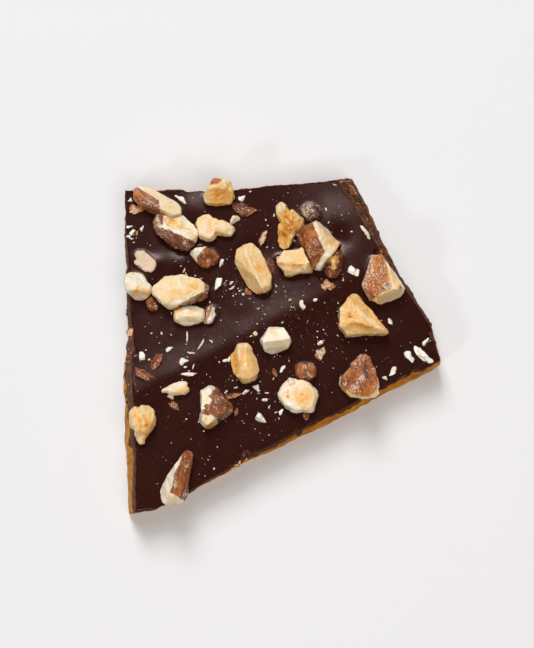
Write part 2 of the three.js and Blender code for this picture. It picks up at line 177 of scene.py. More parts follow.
def break_points(name, t, level):
    """Points at shares t of a break, at levels from 0 at the rim to 1 at the foot."""
    edge = BREAKS[name]
    t, level = np.broadcast_arrays(np.asarray(t, float), np.asarray(level, float))
    first, last = CORNERS[edge["from"]], CORNERS[edge["to"]]
    start = mix(np.array(first["rim"]), np.array(first["foot"]), level[..., None])
    end = mix(np.array(last["rim"]), np.array(last["foot"]), level[..., None])
    length = np.linalg.norm(end - start, axis=-1)
    along = (end - start) / length[..., None]
    outwards = edge["side"] * np.stack([along[..., 1], -along[..., 0]], -1)
    shares, rims, feet = np.array([(0, 0, 0), *edge["bends"], (1, 0, 0)]).T
    bend = mix(np.interp(t, shares, rims), np.interp(t, shares, feet), level)
    distance = t * length
    calm = np.minimum(1, CORNER_CALM * np.minimum(t, 1 - t))
    face = 4 * level * (1 - level)
    rough = RIM_WANDER * wander(distance / WANDER_PITCH, edge["seed"])
    rough = rough + FACE_CRAG * face * wander(distance / CRAG_PITCH + CRAG_SHEAR * level, edge["seed"] + 9)
    for share, width, depth in edge["nicks"]:
        away = (t - share) * length / (width / 2)
        bite = np.clip(1 - away * away, 0, 1) * (1 - level) ** 2
        ragged = 1 + NICK_RAGGED * wander(distance / NICK_PITCH, edge["seed"] + 3)
        rough = rough - depth * bite * ragged
    return start + along * distance[..., None] + outwards * (bend + calm * rough)[..., None]


def slab_points(u, v, level):
    """A Coons patch: points at shares u and v of the slab, bounded by its four breaks."""
    u, v = np.asarray(u, float), np.asarray(v, float)
    ruled = mix(break_points("front", u, level), break_points("back", u, level), v[..., None])
    ruled = ruled + mix(break_points("left", v, level), break_points("right", v, level), u[..., None])
    front = mix(break_points("front", 0, level), break_points("front", 1, level), u[..., None])
    back = mix(break_points("back", 0, level), break_points("back", 1, level), u[..., None])
    return ruled - mix(front, back, v[..., None])


# The slab's edge as a ring of shares, counter-clockwise from the front left corner, and its seam heights.
climb = np.arange(EDGE_STEPS) / EDGE_STEPS
ring_u = np.concatenate([climb, np.ones(EDGE_STEPS), 1 - climb, np.zeros(EDGE_STEPS)])
ring_v = np.concatenate([np.zeros(EDGE_STEPS), climb, np.ones(EDGE_STEPS), 1 - climb])
seam_height = np.concatenate([
    np.interp(shares, *np.array(BREAKS[name]["seam"]).T)
    for name, shares in [("front", climb), ("right", climb), ("back", 1 - climb), ("left", 1 - climb)]
])
seam_line = np.stack([*slab_points(ring_u, ring_v, 0.5).T, seam_height], -1)
seam_height = seam_height + crags(seam_line, SEAM_SCALLOPS, seed=40)


def ring_outwards(ring):
    """Unit directions that point out of the ring, level with the table."""
    run = np.roll(ring, -1, 0) - np.roll(ring, 1, 0)
    out = np.stack([run[:, 1], -run[:, 0]], -1)
    return out / np.linalg.norm(out, axis=1, keepdims=True)


def side_ring(height, push):
    """The slab's edge at one height for each ring point, pushed out of the face by some millimetres."""
    ring = slab_points(ring_u, ring_v, np.clip(1 - height / SLAB_THICKNESS, 0, 1))
    ring = ring + ring_outwards(ring) * push[:, None]
    return np.column_stack([ring, height])


def layer_faces(rows):
    """Four-sided faces between rows of ring points, the lowest row first."""
    count = len(ring_u)
    here = np.arange(count)
    there = np.roll(here, -1)
    return [
        face
        for row in range(rows - 1)
        for face in np.column_stack([here, there, there + count, here + count]) + row * count
    ]


def add_piece(name, points, faces, material):
    """A mesh object from points in millimetres."""
    mesh = bpy.data.meshes.new(name)
    mesh.from_pydata(np.asarray(points) * MM, [], [list(map(int, face)) for face in faces])
    mesh.materials.append(material)
    mesh.polygons.foreach_set("use_smooth", np.ones(len(mesh.polygons), bool))
    mesh.update()
    piece = bpy.data.objects.new(name, mesh)
    bpy.context.scene.collection.objects.link(piece)
    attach(piece, "root")
    return piece


def paint(piece, name, values):
    """Stores one number for each point of a piece, for its material to read."""
    layer = piece.data.attributes.new(name, "FLOAT", "POINT")
    layer.data.foreach_set("value", np.asarray(values, np.float32))


def start_material(name):
    """A new material, its node tree and its shader."""
    material = bpy.data.materials.new(name)
    material.use_nodes = True
    tree = material.node_tree
    return material, tree, tree.nodes["Principled BSDF"]


def noise(tree, pitch, detail=3.0, rough=0.55):
    """A noise texture with grains of the given pitch in millimetres, 0 to 1."""
    place = tree.nodes.new("ShaderNodeTexCoord")
    node = tree.nodes.new("ShaderNodeTexNoise")
    node.inputs["Scale"].default_value = 1 / (pitch * MM)
    node.inputs["Detail"].default_value = detail
    node.inputs["Roughness"].default_value = rough
    tree.links.new(place.outputs["Object"], node.inputs["Vector"])
    return node.outputs["Fac"]


def stretch(tree, value, low, high, to_low=0.0, to_high=1.0):
    """Maps a value from one range to another, held at the ends."""
    node = tree.nodes.new("ShaderNodeMapRange")
    tree.links.new(value, node.inputs["Value"])
    for socket, number in zip(node.inputs[1:5], (low, high, to_low, to_high)):
        socket.default_value = number
    return node.outputs["Result"]


def calculate(tree, operation, first, second):
    """Mathematics on two values, either of which may be a plain number."""
    node = tree.nodes.new("ShaderNodeMath")
    node.operation = operation
    for socket, value in zip(node.inputs, (first, second)):
        if isinstance(value, (int, float)):
            socket.default_value = value
        else:
            tree.links.new(value, socket)
    return node.outputs[0]


def blend(tree, share, first, second):
    """Mixes two colours, each a colour or a socket, by a share."""
    node = tree.nodes.new("ShaderNodeMix")
    node.data_type = "RGBA"
    tree.links.new(share, node.inputs["Factor"])
    for socket, colour in zip((node.inputs[6], node.inputs[7]), (first, second)):
        if isinstance(colour, tuple):
            socket.default_value = (*colour, 1)
        else:
            tree.links.new(colour, socket)
    return node.outputs[2]


def painted(tree, name):
    """Reads the numbers that paint stored on the piece."""
    node = tree.nodes.new("ShaderNodeAttribute")
    node.attribute_name = name
    return node.outputs["Fac"]


def bump(tree, shader, height, depth, before=None):
    """Fine relief in the shader: the depth in millimetres of a height from 0 to 1."""
    node = tree.nodes.new("ShaderNodeBump")
    node.inputs["Distance"].default_value = depth * MM
    tree.links.new(height, node.inputs["Height"])
    if before:
        tree.links.new(before, node.inputs["Normal"])
    tree.links.new(node.outputs["Normal"], shader.inputs["Normal"])
    return node.outputs["Normal"]


TOFFEE_AMBER = (0.66, 0.26, 0.006)
TOFFEE_DEEP = (0.40, 0.135, 0.005)
TOFFEE_CRUMBLED = (0.54, 0.28, 0.11)
TOFFEE_SMEARED = (0.16, 0.055, 0.027)

toffee_finish, tree, shader = start_material("amber_toffee")
amber = blend(tree, stretch(tree, noise(tree, 3.0), 0.35, 0.65), TOFFEE_DEEP, TOFFEE_AMBER)
grainy = stretch(tree, noise(tree, 0.7), 0.3, 0.6)
crumbled = calculate(tree, "MULTIPLY", painted(tree, "crumbled"), grainy)
dry = blend(tree, crumbled, amber, TOFFEE_CRUMBLED)
patchy = stretch(tree, noise(tree, 1.2), 0.3, 0.5, 0.5, 1.0)
smeared = calculate(tree, "MULTIPLY", painted(tree, "smeared"), patchy)
tree.links.new(blend(tree, smeared, dry, TOFFEE_SMEARED), shader.inputs["Base Color"])
tree.links.new(stretch(tree, crumbled, 0, 1, 0.45, 0.8), shader.inputs["Roughness"])
shader.inputs["Specular IOR Level"].default_value = 0.08
shader.inputs["Subsurface Weight"].default_value = 0.35
shader.inputs["Subsurface Radius"].default_value = (1.0, 0.45, 0.1)
shader.inputs["Subsurface Scale"].default_value = 1.6 * MM
bump(tree, shader, noise(tree, 0.35, detail=4), depth=0.12)

count = len(ring_u)
around = np.arange(count)
on_left = around >= 3 * EDGE_STEPS
share_up = np.linspace(0, 1, TOFFEE_ROWS)
toffee_rows = []
for share in share_up:
    height = seam_height * share
    face = side_ring(height, np.zeros(count))
    foot = FOOT_BEVEL * max(0, 1 - share / FOOT_BEVEL_SHARE)
    tuck = SEAM_TUCK * share ** SEAM_TUCK_POWER
    toffee_rows.append(side_ring(height, crags(face, TOFFEE_CRAGS, seed=50) - foot - tuck))
toffee_shell = layer_faces(TOFFEE_ROWS)
toffee_shell += [around[::-1], around + (TOFFEE_ROWS - 1) * count]
toffee = add_piece("toffee_slab", np.concatenate(toffee_rows), toffee_shell, toffee_finish)
ragged = 0.5 * (1 + wander(around / FRINGE_STEPS, seed=7))
fringe = FRINGE_LOW + FRINGE_RAGGED * ragged
dusty = np.where(on_left, LEFT_CRUMBLED, 0.0)
crumbled_rows = [np.maximum(dusty, np.exp(-((share / fringe) ** 2))) for share in share_up]
paint(toffee, "crumbled", np.concatenate(crumbled_rows))
smear = np.interp(around / EDGE_STEPS, *np.array(SMEAR).T)
paint(toffee, "smeared", np.tile(smear, TOFFEE_ROWS))
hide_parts("toffee")

# Chocolate: dark chocolate poured over the warm toffee and drawn out with a spatula, so its top is a
# soft-set sheet with ridges and hollows that crept up round the nuts. Where the slab was snapped it is
# dull and grainy.
RIDGE = {
    "from": (-32.6, -13.2), "to": (19.4, 14.6), "fade": 10,
    "height": 0.95, "run_up": 5.8, "fall": 2.2, "crest": 1.6,
}
# Mounds and hollows: where, how wide and how high. Pits are burst bubbles and chipped spots.
# Cracks are where the corner nearly broke off: the points they run through, a width, a depth and a shade.
MOUNDS = [
    ((-17.8, 28.8), 4.2, 0.44), ((-21.6, 17.2), 2.8, 0.45), ((-27.0, 17.2), 1.8, 0.28),
    ((-30.1, 13.5), 2.6, 0.35), ((15.5, 22.5), 10.0, 0.95), ((12.8, 22.2), 3.0, -0.5),
    ((-3.1, 20.7), 5.0, -0.25), ((29.0, 12.0), 11.0, 0.3),
]
PITS = [
    ((-8.0, -25.2), 0.8, 0.5), ((-7.1, -24.7), 0.4, 0.35), ((-32.7, -2.7), 1.3, 0.6),
    ((21.4, 19.4), 0.7, 0.9),
]
CRACKS = [([(33.4, 0.7), (31.0, -0.7), (31.5, -4.3)], 0.4, -0.5, 0)]
SWELLS = [(13.0, 0.10), (6.0, 0.04), (2.5, 0.010)]
TOP_STEPS = 256
RIM_ROWS = 10
RIM_BEVEL, RIM_DROP = 0.30, 0.8
RIM_CHIPPED, RIM_CHIP_LONG, RIM_CHIP_SHORT = 0.7, 5, 2
RIM_CALM, SEAM_UNDERCUT = 0.6, 0.1
CHOCOLATE_CRAGS = [(2.4, 0.32), (1.1, 0.32), (0.5, 0.2)]
PIT_RAGGED, PIT_RAGGED_PITCH = 0.25, 0.5
PIT_UNEVEN, PIT_UNEVEN_PITCH = 0.25, 0.35
# How dull the top is where it was snapped along the rim and in the pits, and how crumbly the left break is.
# Along the top's outer ring, the snapped share also blends in the reddish rim colour: the break's brown with
# a painted highlight.
RIM_SNAPPED_AND_HIGHLIGHT = 0.7
PIT_SNAPPED, PIT_FADE = 0.3, 1.6
LEFT_CRUMBLY = 0.25
CREEP_HEIGHT, CREEP_REACH = 0.14, 0.3
MOAT_DEPTH, MOAT_REACH = 0.05, 1.5
NUT_REACH = 3.0


def ridge_height(x, y):
    """The long wave that the spatula left: a slow rise behind it and a quick fall in front."""
    start = np.array(RIDGE["from"])
    along = np.array(RIDGE["to"]) - start
    length = np.linalg.norm(along)
    along = along / length
    travel = (x - start[0]) * along[0] + (y - start[1]) * along[1]
    beside = (y - start[1]) * along[0] - (x - start[0]) * along[1]
    behind = (np.hypot(beside, RIDGE["crest"]) - RIDGE["crest"]) / RIDGE["run_up"]
    slope = np.where(beside > 0, behind, (beside / RIDGE["fall"]) ** 2)
    past = np.maximum(0, np.maximum(-travel, travel - length)) / RIDGE["fade"]
    return RIDGE["height"] * np.exp(-slope - past * past)


def surface_height(x, y):
    """Height of the poured surface without its finest waves."""
    height = SLAB_THICKNESS + ridge_height(x, y)
    for (at_x, at_y), radius, rise in MOUNDS:
        height = height + rise * np.exp(-((x - at_x) ** 2 + (y - at_y) ** 2) / radius ** 2)
    return height


def strokes(plan, rows):
    """Soft lines through points, added up: their height and their change of roast, which on the almonds
    paints ridges paler as highlight and cracks darker as shade.
    """
    height, brown = np.zeros(len(plan)), np.zeros(len(plan))
    for path, width, rise, shade in rows:
        away = np.full(len(plan), np.inf)
        for start, end in zip(np.array(path), np.array(path[1:])):
            run = end - start
            share = np.clip((plan - start) @ run / (run @ run), 0, 1)
            away = np.minimum(away, np.linalg.norm(plan - start - np.outer(share, run), axis=1))
        line = np.exp(-((away / width) ** 2))
        height += rise * line
        brown += shade * line
    return height, brown


nut_names = sorted(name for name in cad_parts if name.startswith("almond"))
nut_points, nut_faces = [], []
for name in nut_names:
    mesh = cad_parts[name].data
    first = len(nut_points)
    nut_points += [vertex.co / MM for vertex in mesh.vertices]
    nut_faces += [[first + i for i in polygon.vertices] for polygon in mesh.polygons]
nut_tree = BVHTree.FromPolygons(nut_points, nut_faces)


def nut_distance(points):
    """How far each point is from the nearest nut, at most a reach."""
    found = [nut_tree.find_nearest(Vector(point), NUT_REACH)[3] for point in points]
    return np.array([NUT_REACH if distance is None else distance for distance in found])


def poured(points):
    """Points on the slab's plan lifted to the set surface, with its waves and its creep up the nuts."""
    height = surface_height(points[:, 0], points[:, 1])
    flat = np.column_stack([points, np.zeros(len(points))])
    height = height + crags(flat, SWELLS, seed=60) + strokes(points, CRACKS)[0]
    gap = nut_distance(np.column_stack([points, height]))
    creep = CREEP_HEIGHT * np.exp(-gap / CREEP_REACH)
    moat = MOAT_DEPTH * np.exp(-((gap / MOAT_REACH) ** 2))
    height = height + creep - moat
    for at, radius, depth in PITS:
        away = np.linalg.norm(points - np.array(at), axis=1) / radius
        away = away * (1 + PIT_RAGGED * lumps(flat, PIT_RAGGED_PITCH, seed=90))
        uneven = 1 - PIT_UNEVEN + PIT_UNEVEN * lumps(flat, PIT_UNEVEN_PITCH, seed=91)
        height = height - depth * np.clip(1 - away ** 4, 0, 1) * uneven
    return np.column_stack([points, height])


CHOCOLATE_POURED = (0.027, 0.0052, 0.0033)
CHOCOLATE_BROKEN = (0.055, 0.018, 0.011)
CHOCOLATE_CRUMB = (0.27, 0.13, 0.075)
# The reddish rim colour: partly the broken edge's own brown, partly a painted highlight where the rim
# catches the light.
CHOCOLATE_BREAK_AND_HIGHLIGHT = (0.19, 0.052, 0.024)

chocolate_finish, tree, shader = start_material("dark_chocolate")
grain = stretch(tree, noise(tree, 0.5, detail=5, rough=0.7), 0.35, 0.7)
snapped = painted(tree, "snapped")
# Snapped places take on the reddish rim colour, which along the rim is a painted highlight line over the
# break's brown.
tree.links.new(blend(tree, snapped, CHOCOLATE_POURED, CHOCOLATE_BREAK_AND_HIGHLIGHT), shader.inputs["Base Color"])
satin = stretch(tree, noise(tree, 5.0, detail=4), 0.3, 0.7, 0.19, 0.26)
matt = stretch(tree, snapped, 0, 1, 0.2, 0.75)
tree.links.new(calculate(tree, "MAXIMUM", satin, matt), shader.inputs["Roughness"])
shader.inputs["Specular IOR Level"].default_value = 0.45
shader.inputs["Specular Tint"].default_value = (1.0, 0.79, 0.74, 1)
pebbled = calculate(tree, "MULTIPLY", grain, stretch(tree, snapped, 0, 1, 0.03, 1.0))
bump(tree, shader, pebbled, depth=0.15)

snap_finish, tree, shader = start_material("snapped_chocolate")
grain = stretch(tree, noise(tree, 1.1, detail=6, rough=0.75), 0.38, 0.68)
crumbly = calculate(tree, "ADD", grain, painted(tree, "crumbly"))
dull = blend(tree, crumbly, CHOCOLATE_BROKEN, CHOCOLATE_CRUMB)
# The rows at the rim take the reddish rim colour in full: a painted highlight line over the break's brown.
tree.links.new(blend(tree, painted(tree, "rim"), dull, CHOCOLATE_BREAK_AND_HIGHLIGHT), shader.inputs["Base Color"])
shader.inputs["Roughness"].default_value = 0.75
shader.inputs["Specular IOR Level"].default_value = 0.12
bump(tree, shader, grain, depth=0.3)

inset = slab_points(ring_u, ring_v, 0.0)
chips_along = wander(around / RIM_CHIP_LONG, seed=8) * wander(around / RIM_CHIP_SHORT, seed=12)
chipped = 1 + RIM_CHIPPED * chips_along
top_rim = inset - ring_outwards(inset) * (RIM_BEVEL * chipped)[:, None]
side = np.linspace(0, 1, RIM_ROWS)
chocolate_rows = []
rim_height = surface_height(inset[:, 0], inset[:, 1])
for share in side:
    height = mix(seam_height, rim_height - RIM_DROP * RIM_BEVEL, share)
    face = side_ring(height, np.zeros(count))
    ragged = crags(face, CHOCOLATE_CRAGS, seed=70) * (1 - RIM_CALM * share)
    chocolate_rows.append(side_ring(height, ragged - SEAM_UNDERCUT * (1 - share)))
shares = np.linspace(0, 1, TOP_STEPS + 1)
grid_u, grid_v = np.meshgrid(shares, shares, indexing="ij")
plan = slab_points(grid_u.ravel(), grid_v.ravel(), 0.0)
ring_cell = np.round(ring_u * TOP_STEPS).astype(int) * (TOP_STEPS + 1)
ring_cell = ring_cell + np.round(ring_v * TOP_STEPS).astype(int)
plan[ring_cell] = top_rim
top = poured(plan)
first_top = count * RIM_ROWS
cells = np.arange((TOP_STEPS + 1) ** 2).reshape(TOP_STEPS + 1, TOP_STEPS + 1) + first_top
cell_corners = [cells[:-1, :-1], cells[1:, :-1], cells[1:, 1:], cells[:-1, 1:]]
top_faces = np.stack(cell_corners, -1).reshape(-1, 4)
last_row = around + (RIM_ROWS - 1) * count
rim_row = first_top + ring_cell
bevel = np.column_stack([last_row, np.roll(last_row, -1), np.roll(rim_row, -1), rim_row])
chocolate_points = np.concatenate([*chocolate_rows, top])
chocolate_shell = [*layer_faces(RIM_ROWS), *bevel, *top_faces, around[::-1]]
chocolate = add_piece("chocolate_sheet", chocolate_points, chocolate_shell, chocolate_finish)
chocolate.data.materials.append(snap_finish)
broken_faces = np.zeros(len(chocolate_shell), int)
broken_faces[:count * RIM_ROWS] = 1
chocolate.data.polygons.foreach_set("material_index", broken_faces)
snapped_amount = np.zeros(len(chocolate_points))
snapped_amount[:first_top] = 1
snapped_amount[rim_row] = RIM_SNAPPED_AND_HIGHLIGHT
for at, radius, _ in PITS:
    away = np.linalg.norm(top[:, :2] - np.array(at), axis=1) / radius
    dulled = PIT_SNAPPED * np.clip(PIT_FADE * (1 - away), 0, 1)
    snapped_amount[first_top:] = np.maximum(snapped_amount[first_top:], dulled)
paint(chocolate, "snapped", snapped_amount)
# The bevel between side and top carries the painted highlight line along the rim, over the break's brown.
rim_line_and_highlight = np.zeros(len(chocolate_points))
rim_line_and_highlight[last_row] = 1
rim_line_and_highlight[rim_row] = 1
paint(chocolate, "rim", rim_line_and_highlight)
crumbly_amount = np.zeros(len(chocolate_points))
crumbly_amount[:first_top] = np.tile(np.where(on_left, LEFT_CRUMBLY, 0.0), RIM_ROWS)
paint(chocolate, "crumbly", crumbly_amount)
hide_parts("chocolate")

# Almonds: roasted kernels chopped on a board and pressed into the chocolate before it set. The knife and
# the roast left flesh from white to scorched, and pieces from the outside of a kernel still carry rough
# brown skin.
ALL_OVER = [[(0, 90, -20)]]
# What the pieces give, where they differ from a plain one. Places are x and y from the piece's middle.
# roast: from white flesh 0 through cream and gold to scorched brown 1.
# craggy, dished: how rough the breaks are, and how deep their dents.
# rounded, crisp: how far the corners are worn off, and how crisp the edges of the knife's cuts stayed.
# trim, grain: what is added all round, and the bearing that the skin's streaks run along.
# rust, frost: from orange skin 0 to dark skin 1, and the nut dust on the skin.
# skin: patches of skin, each the common part of half-spaces: a bearing from +X, a pitch and a distance.
# patches, bare: round spots with skin and without it: a place and a radius.
# stains, dustings: a place, a radius and a change of roast and rust, or of frost. Some of these spots are
# painted shade on faces turned from the light; the others are real roast.
# knobs, bites: a place, a radius and a height, on upper faces or on all of them.
# strokes: ridges and cracks: the points they run through, a width, a height and a change of roast and rust.
# Ridges are made paler as a painted highlight and cracks darker as painted shade, on top of their roast.
# cuts: flats that the knife took off: a bearing, a pitch and a distance from the middle.
PLAIN_ALMOND = {
    "craggy": 1.0, "dished": 0.7, "rounded": 1, "crisp": 0.5, "trim": 0, "grain": 90,
    "rust": 0.5, "frost": 0.2, "skin": [], "patches": [], "bare": [], "stains_and_shade": [], "dustings": [],
    "knobs": [], "bites": [], "strokes": [], "cuts": [],
}
ALMONDS = {
    "almond_sliver_back_left": {
        "roast": 0.18, "craggy": 0.4, "dished": 0.3, "crisp": 0.7, "grain": 130, "rust": 0.4, "frost": 0.3,
        "skin": [[(237, 0, -0.3), (190, 0, -0.3)]],
        "stains_and_shade": [(2.9, -1.7, 1.0, 0.1), (-4.4, 1.6, 1.3, -0.4), (3.0, -0.3, 0.25, 0.3)],
    },
    "almond_cup": {
        "roast": 0.11, "craggy": 1.5, "dished": 0.6, "grain": 105, "rust": 0.62, "frost": 0.22,
        "skin": [[(248, 0, 0.85)], [(170, 0, 3.0), (90, 0, 0.9)]],
        "stains_and_shade": [(-0.9, 2.0, 0.7, 0.48), (0.2, 1.3, 0.8, 0.2), (3.9, -1.2, 1.1, 0.14)],
        "dustings": [(-4.2, 1.8, 1.5, 0.15)],
        "knobs": [(-0.9, 1.9, 1.3, -0.4), (2.4, 0.6, 1.0, -0.25)],
        "strokes": [
            ([(0.4, 0.9), (3.0, 0.4)], 0.35, -0.15, 0.24), ([(0.2, 2.4), (1.7, 1.4)], 0.35, -0.05, 0.17),
            ([(-2.3, 1.6), (-1.2, -0.1), (0.8, -0.8), (2.8, -0.5)], 0.69, 0.17, -0.06),
        ],
    },
    "almond_back_edge": {
        "roast": 0.38, "craggy": 1.3, "dished": 0.4, "crisp": 0.3, "rust": 0.2, "frost": 0.1,
        "patches": [(-0.7, 1.5, 0.9), (0.3, 1.8, 0.5)],
        "stains_and_shade": [
            (0.1, -1.5, 1.9, 0.34), (2.2, -1.5, 1.0, 0.14), (1.5, 1.5, 0.9, -0.3), (-2.9, -1.9, 0.9, -0.2),
        ],
        "knobs": [(1.4, 1.4, 0.9, 0.5), (1.8, 0.3, 0.4, -0.3), (0.2, -1.6, 0.9, -0.2)],
        "strokes": [([(-2.0, 0.2), (-0.6, 0.2), (0.6, 0.8)], 0.46, 0.1, -0.12)],
        "cuts": [(270, 52, 2.1)],
    },
    "almond_two_lobes": {
        "roast": 0.2, "craggy": 1.2, "dished": 0.6, "crisp": 0.7,
        "stains_and_shade": [(-2.3, 2.0, 0.5, 0.25), (0.5, 0.9, 0.7, 0.12), (-2.6, -2.3, 0.7, 0.2)],
        "strokes": [
            ([(-1.0, 1.5), (-1.0, -1.1)], 0.4, -0.1, 0.17), ([(0.5, -1.6), (1.7, -2.0)], 0.5, -0.25, 0.42),
        ],
        "bites": [(1.2, -2.6, 0.7, -0.6), (1.0, 2.3, 0.6, -0.4)],
        "cuts": [(0, 90, 1.6)],
    },
    "almond_brown_block": {
        "roast": 0.06, "craggy": 1.6, "dished": 0.5, "crisp": 1.0, "grain": 100, "rust": 0.55, "frost": 0.18,
        "skin": [[(324, 0, -1.2), (14, 0, -1.8)]],
        "stains_and_shade": [(0.4, 1.3, 0.7, -0.4), (0.4, -2.2, 0.8, -0.3), (-2.8, -0.6, 0.9, 0.3)],
        "dustings": [(-0.4, 0.5, 0.9, 0.35), (1.3, -0.9, 0.7, 0.3)],
        "strokes": [
            ([(-1.0, -1.5), (0.8, -1.2)], 0.34, 0.12, -0.2), ([(-1.0, -0.9), (1.8, -0.7)], 0.3, -0.05, 0.1),
        ],
        "bites": [(0.8, 3.1, 1.5, -0.5), (0.4, -3.0, 1.8, -0.5), (-1.2, -3.0, 0.6, -0.4)],
        "cuts": [
            (55, 10, 2.3), (315, 10, 2.4), (250, 10, 2.2), (110, 10, 2.2), (205, 40, 1.4), (300, 66, 1.15),
            (60, 60, 1.5),
        ],
    },
    "almond_flat_slice": {
        "roast": 0.3, "craggy": 0.6, "dished": 0.4, "rust": 0.0, "frost": 1.0,
        "skin": ALL_OVER,
        "stains_and_shade": [(2.0, -1.2, 0.8, -0.2)],
        "bites": [(2.3, 2.0, 1.4, -0.7), (-1.8, -2.1, 1.0, -0.5), (-2.4, 0.7, 0.7, -0.7)],
    },
    "almond_left_edge": {
        "roast": 0.06, "dished": 0.7,
        "stains_and_shade": [(2.0, -1.9, 0.9, 0.4), (0.2, -2.8, 0.7, 0.2)],
        "strokes": [([(0.4, -0.8), (-0.2, -1.6), (-1.1, -2.2)], 0.5, -0.1, 0.42)],
    },
    "almond_long_slice": {
        "roast": 0.21, "craggy": 1.2, "dished": 0.5, "rounded": 2, "crisp": 0.2, "rust": 0.55, "frost": 0.45,
        "skin": [[(296, 0, 2.7)], [(15, 0, 5.4)]],
        "stains_and_shade": [
            (3.4, 0.8, 0.9, 0.25), (4.2, 1.0, 0.6, 0.15), (2.0, -0.6, 0.5, 0.25), (2.6, 0.9, 1.5, 0.12),
            (-2.1, -1.9, 0.6, 0.14),
        ],
        "knobs": [(3.4, 0.8, 0.8, -0.45), (2.0, -0.6, 0.5, -0.25), (1.0, 0.9, 0.6, 0.2)],
        "strokes": [
            ([(-0.5, 2.8), (-0.2, 1.0), (0.8, -0.6)], 0.46, 0.12, -0.07),
            ([(1.4, 2.1), (4.2, 2.2)], 0.57, 0.15, -0.06),
            ([(-1.9, -3.2), (1.4, -2.0), (5.0, -0.7)], 0.57, 0.07, -0.12),
            ([(-1.5, -0.6), (0.1, -0.8)], 0.7, -0.1, 0.17), ([(-4.2, 1.5), (-1.5, 0.6)], 0.34, 0.04, -0.05),
        ],
        "bites": [(1.6, 3.4, 0.9, -0.35)],
    },
    "almond_oval": {
        "roast": 0.12, "craggy": 0.7, "dished": 0.6,
        "stains_and_shade": [(-2.8, 1.0, 0.9, 0.55), (0.5, -0.2, 1.0, 0.14)],
        "strokes": [([(-2.9, -0.6), (-0.7, 1.0)], 0.46, 0.1, -0.07)],
        "cuts": [(85, 75, 1.7), (270, 40, 1.9)],
    },
    "almond_nib_half": {
        "roast": 0.08, "rust": 0.2, "frost": 0.3,
        "skin": [[(163, 0, 0.3)]],
        "bites": [(1.7, 0.4, 1.4, -0.6)],
    },
    "almond_nib_brown": {
        "roast": 0.5, "rust": 0.5, "frost": 0.15,
        "skin": ALL_OVER,
        "stains_and_shade": [(-0.4, 1.2, 0.9, -0.3)],
        "dustings": [(0.4, -0.9, 1.0, 0.4)],
    },
    "almond_long_middle": {
        "roast": 0.33, "craggy": 0.4, "dished": 0.35, "rounded": 2, "crisp": 0.0,
        "stains_and_shade": [
            (0.9, 0.1, 0.9, 0.25), (1.6, -0.6, 1.4, 0.1), (0.4, 0.8, 0.3, -0.4), (0.9, 3.9, 1.0, -0.08),
            (-1.8, -1.0, 1.4, 0.08), (1.8, -5.3, 0.9, 0.16), (-2.1, 3.6, 0.9, -0.15),
        ],
        "strokes": [
            ([(-1.7, 4.4), (-1.8, 2.4), (-0.4, 0.1), (0.5, -1.2), (1.1, -3.2), (2.2, -5.0)],
             0.3, 0.12, -0.16),
            ([(-2.0, 0.8), (-1.4, -2.6), (-0.2, -4.6)], 0.9, -0.12, 0.03),
        ],
        "bites": [(-3.4, -2.6, 1.2, -0.3)],
        "cuts": [(192, 62, 2.3), (20, 60, 2.5)],
    },
    "almond_craggy": {
        "roast": 0.55, "craggy": 1.5, "dished": 0.9, "crisp": 0.7,
        "stains_and_shade": [
            (-2.0, 4.1, 1.4, -0.42), (-0.8, -1.6, 1.4, 0.24), (-1.2, 2.0, 0.7, 0.24), (0.4, 0.3, 0.8, 0.16),
            (1.3, 1.2, 0.7, -0.2), (0.3, -2.9, 0.6, -0.4), (-1.4, -5.0, 1.0, -0.2),
        ],
        "knobs": [(0.3, -2.9, 0.6, 0.35), (1.3, 1.2, 0.7, 0.25), (-2.2, -1.3, 0.5, 0.3)],
        "strokes": [
            ([(-0.4, 3.8), (-0.9, 1.5)], 0.4, -0.3, 0.15), ([(-0.3, -0.4), (-0.1, -2.0)], 0.4, -0.2, 0.12),
            ([(-1.6, 0.6), (-1.8, -1.5), (-1.5, -3.6)], 0.5, -0.15, 0.1),
            ([(0.4, 3.0), (1.9, 1.2)], 0.4, 0.2, -0.2),
        ],
        "cuts": [(195, 45, 1.7), (20, 40, 1.9)],
    },
    "almond_cube": {
        "roast": 0.25, "craggy": 0.8, "dished": 0.8, "rounded": 4, "crisp": 0.0,
        "stains_and_shade": [(1.4, -0.1, 1.4, 0.16), (2.6, -1.6, 1.0, 0.08), (-0.8, -2.4, 2.0, 0.06)],
        "knobs": [(-2.6, 0.6, 0.8, 0.3), (2.6, -2.0, 0.8, 0.3)],
        "strokes": [
            ([(-3.4, -0.2), (0.6, -0.3), (3.0, -1.0)], 0.4, 0.05, -0.05),
            ([(-2.8, -0.9), (-0.1, -1.0)], 0.45, -0.17, 0.27), ([(1.3, -1.4), (2.1, -2.1)], 0.3, -0.1, 0.17),
        ],
        "bites": [
            (-3.6, 1.9, 1.0, -0.5), (-3.2, -2.4, 1.0, -0.5), (0.9, 2.5, 0.8, -0.25), (1.6, -3.3, 0.9, -0.4),
        ],
        "cuts": [(268, 50, 2.45), (212, 25, 3.3), (150, 30, 3.2), (325, 25, 3.7)],
    },
    "almond_tall_wedge": {
        "roast": 0.13, "dished": 0.7, "crisp": 0.7, "grain": 32, "rust": 0.33, "frost": 0.1,
        "skin": [[(201, 0, -0.3), (153, 0, -1.6)]],
        "stains_and_shade": [
            (0.5, -2.1, 0.6, -0.6), (-0.5, -4.8, 0.8, -0.3), (3.6, -2.2, 0.9, 0.3), (2.6, 0.8, 1.2, 0.15),
        ],
        "dustings": [(-0.9, -0.4, 0.8, 0.3), (-1.4, -2.1, 0.6, 0.6)],
        "knobs": [(3.2, -1.2, 1.6, 0.9)],
        "strokes": [
            ([(-2.4, 1.3), (-1.5, 2.0), (-0.8, 2.8)], 0.52, 0.05, -0.35),
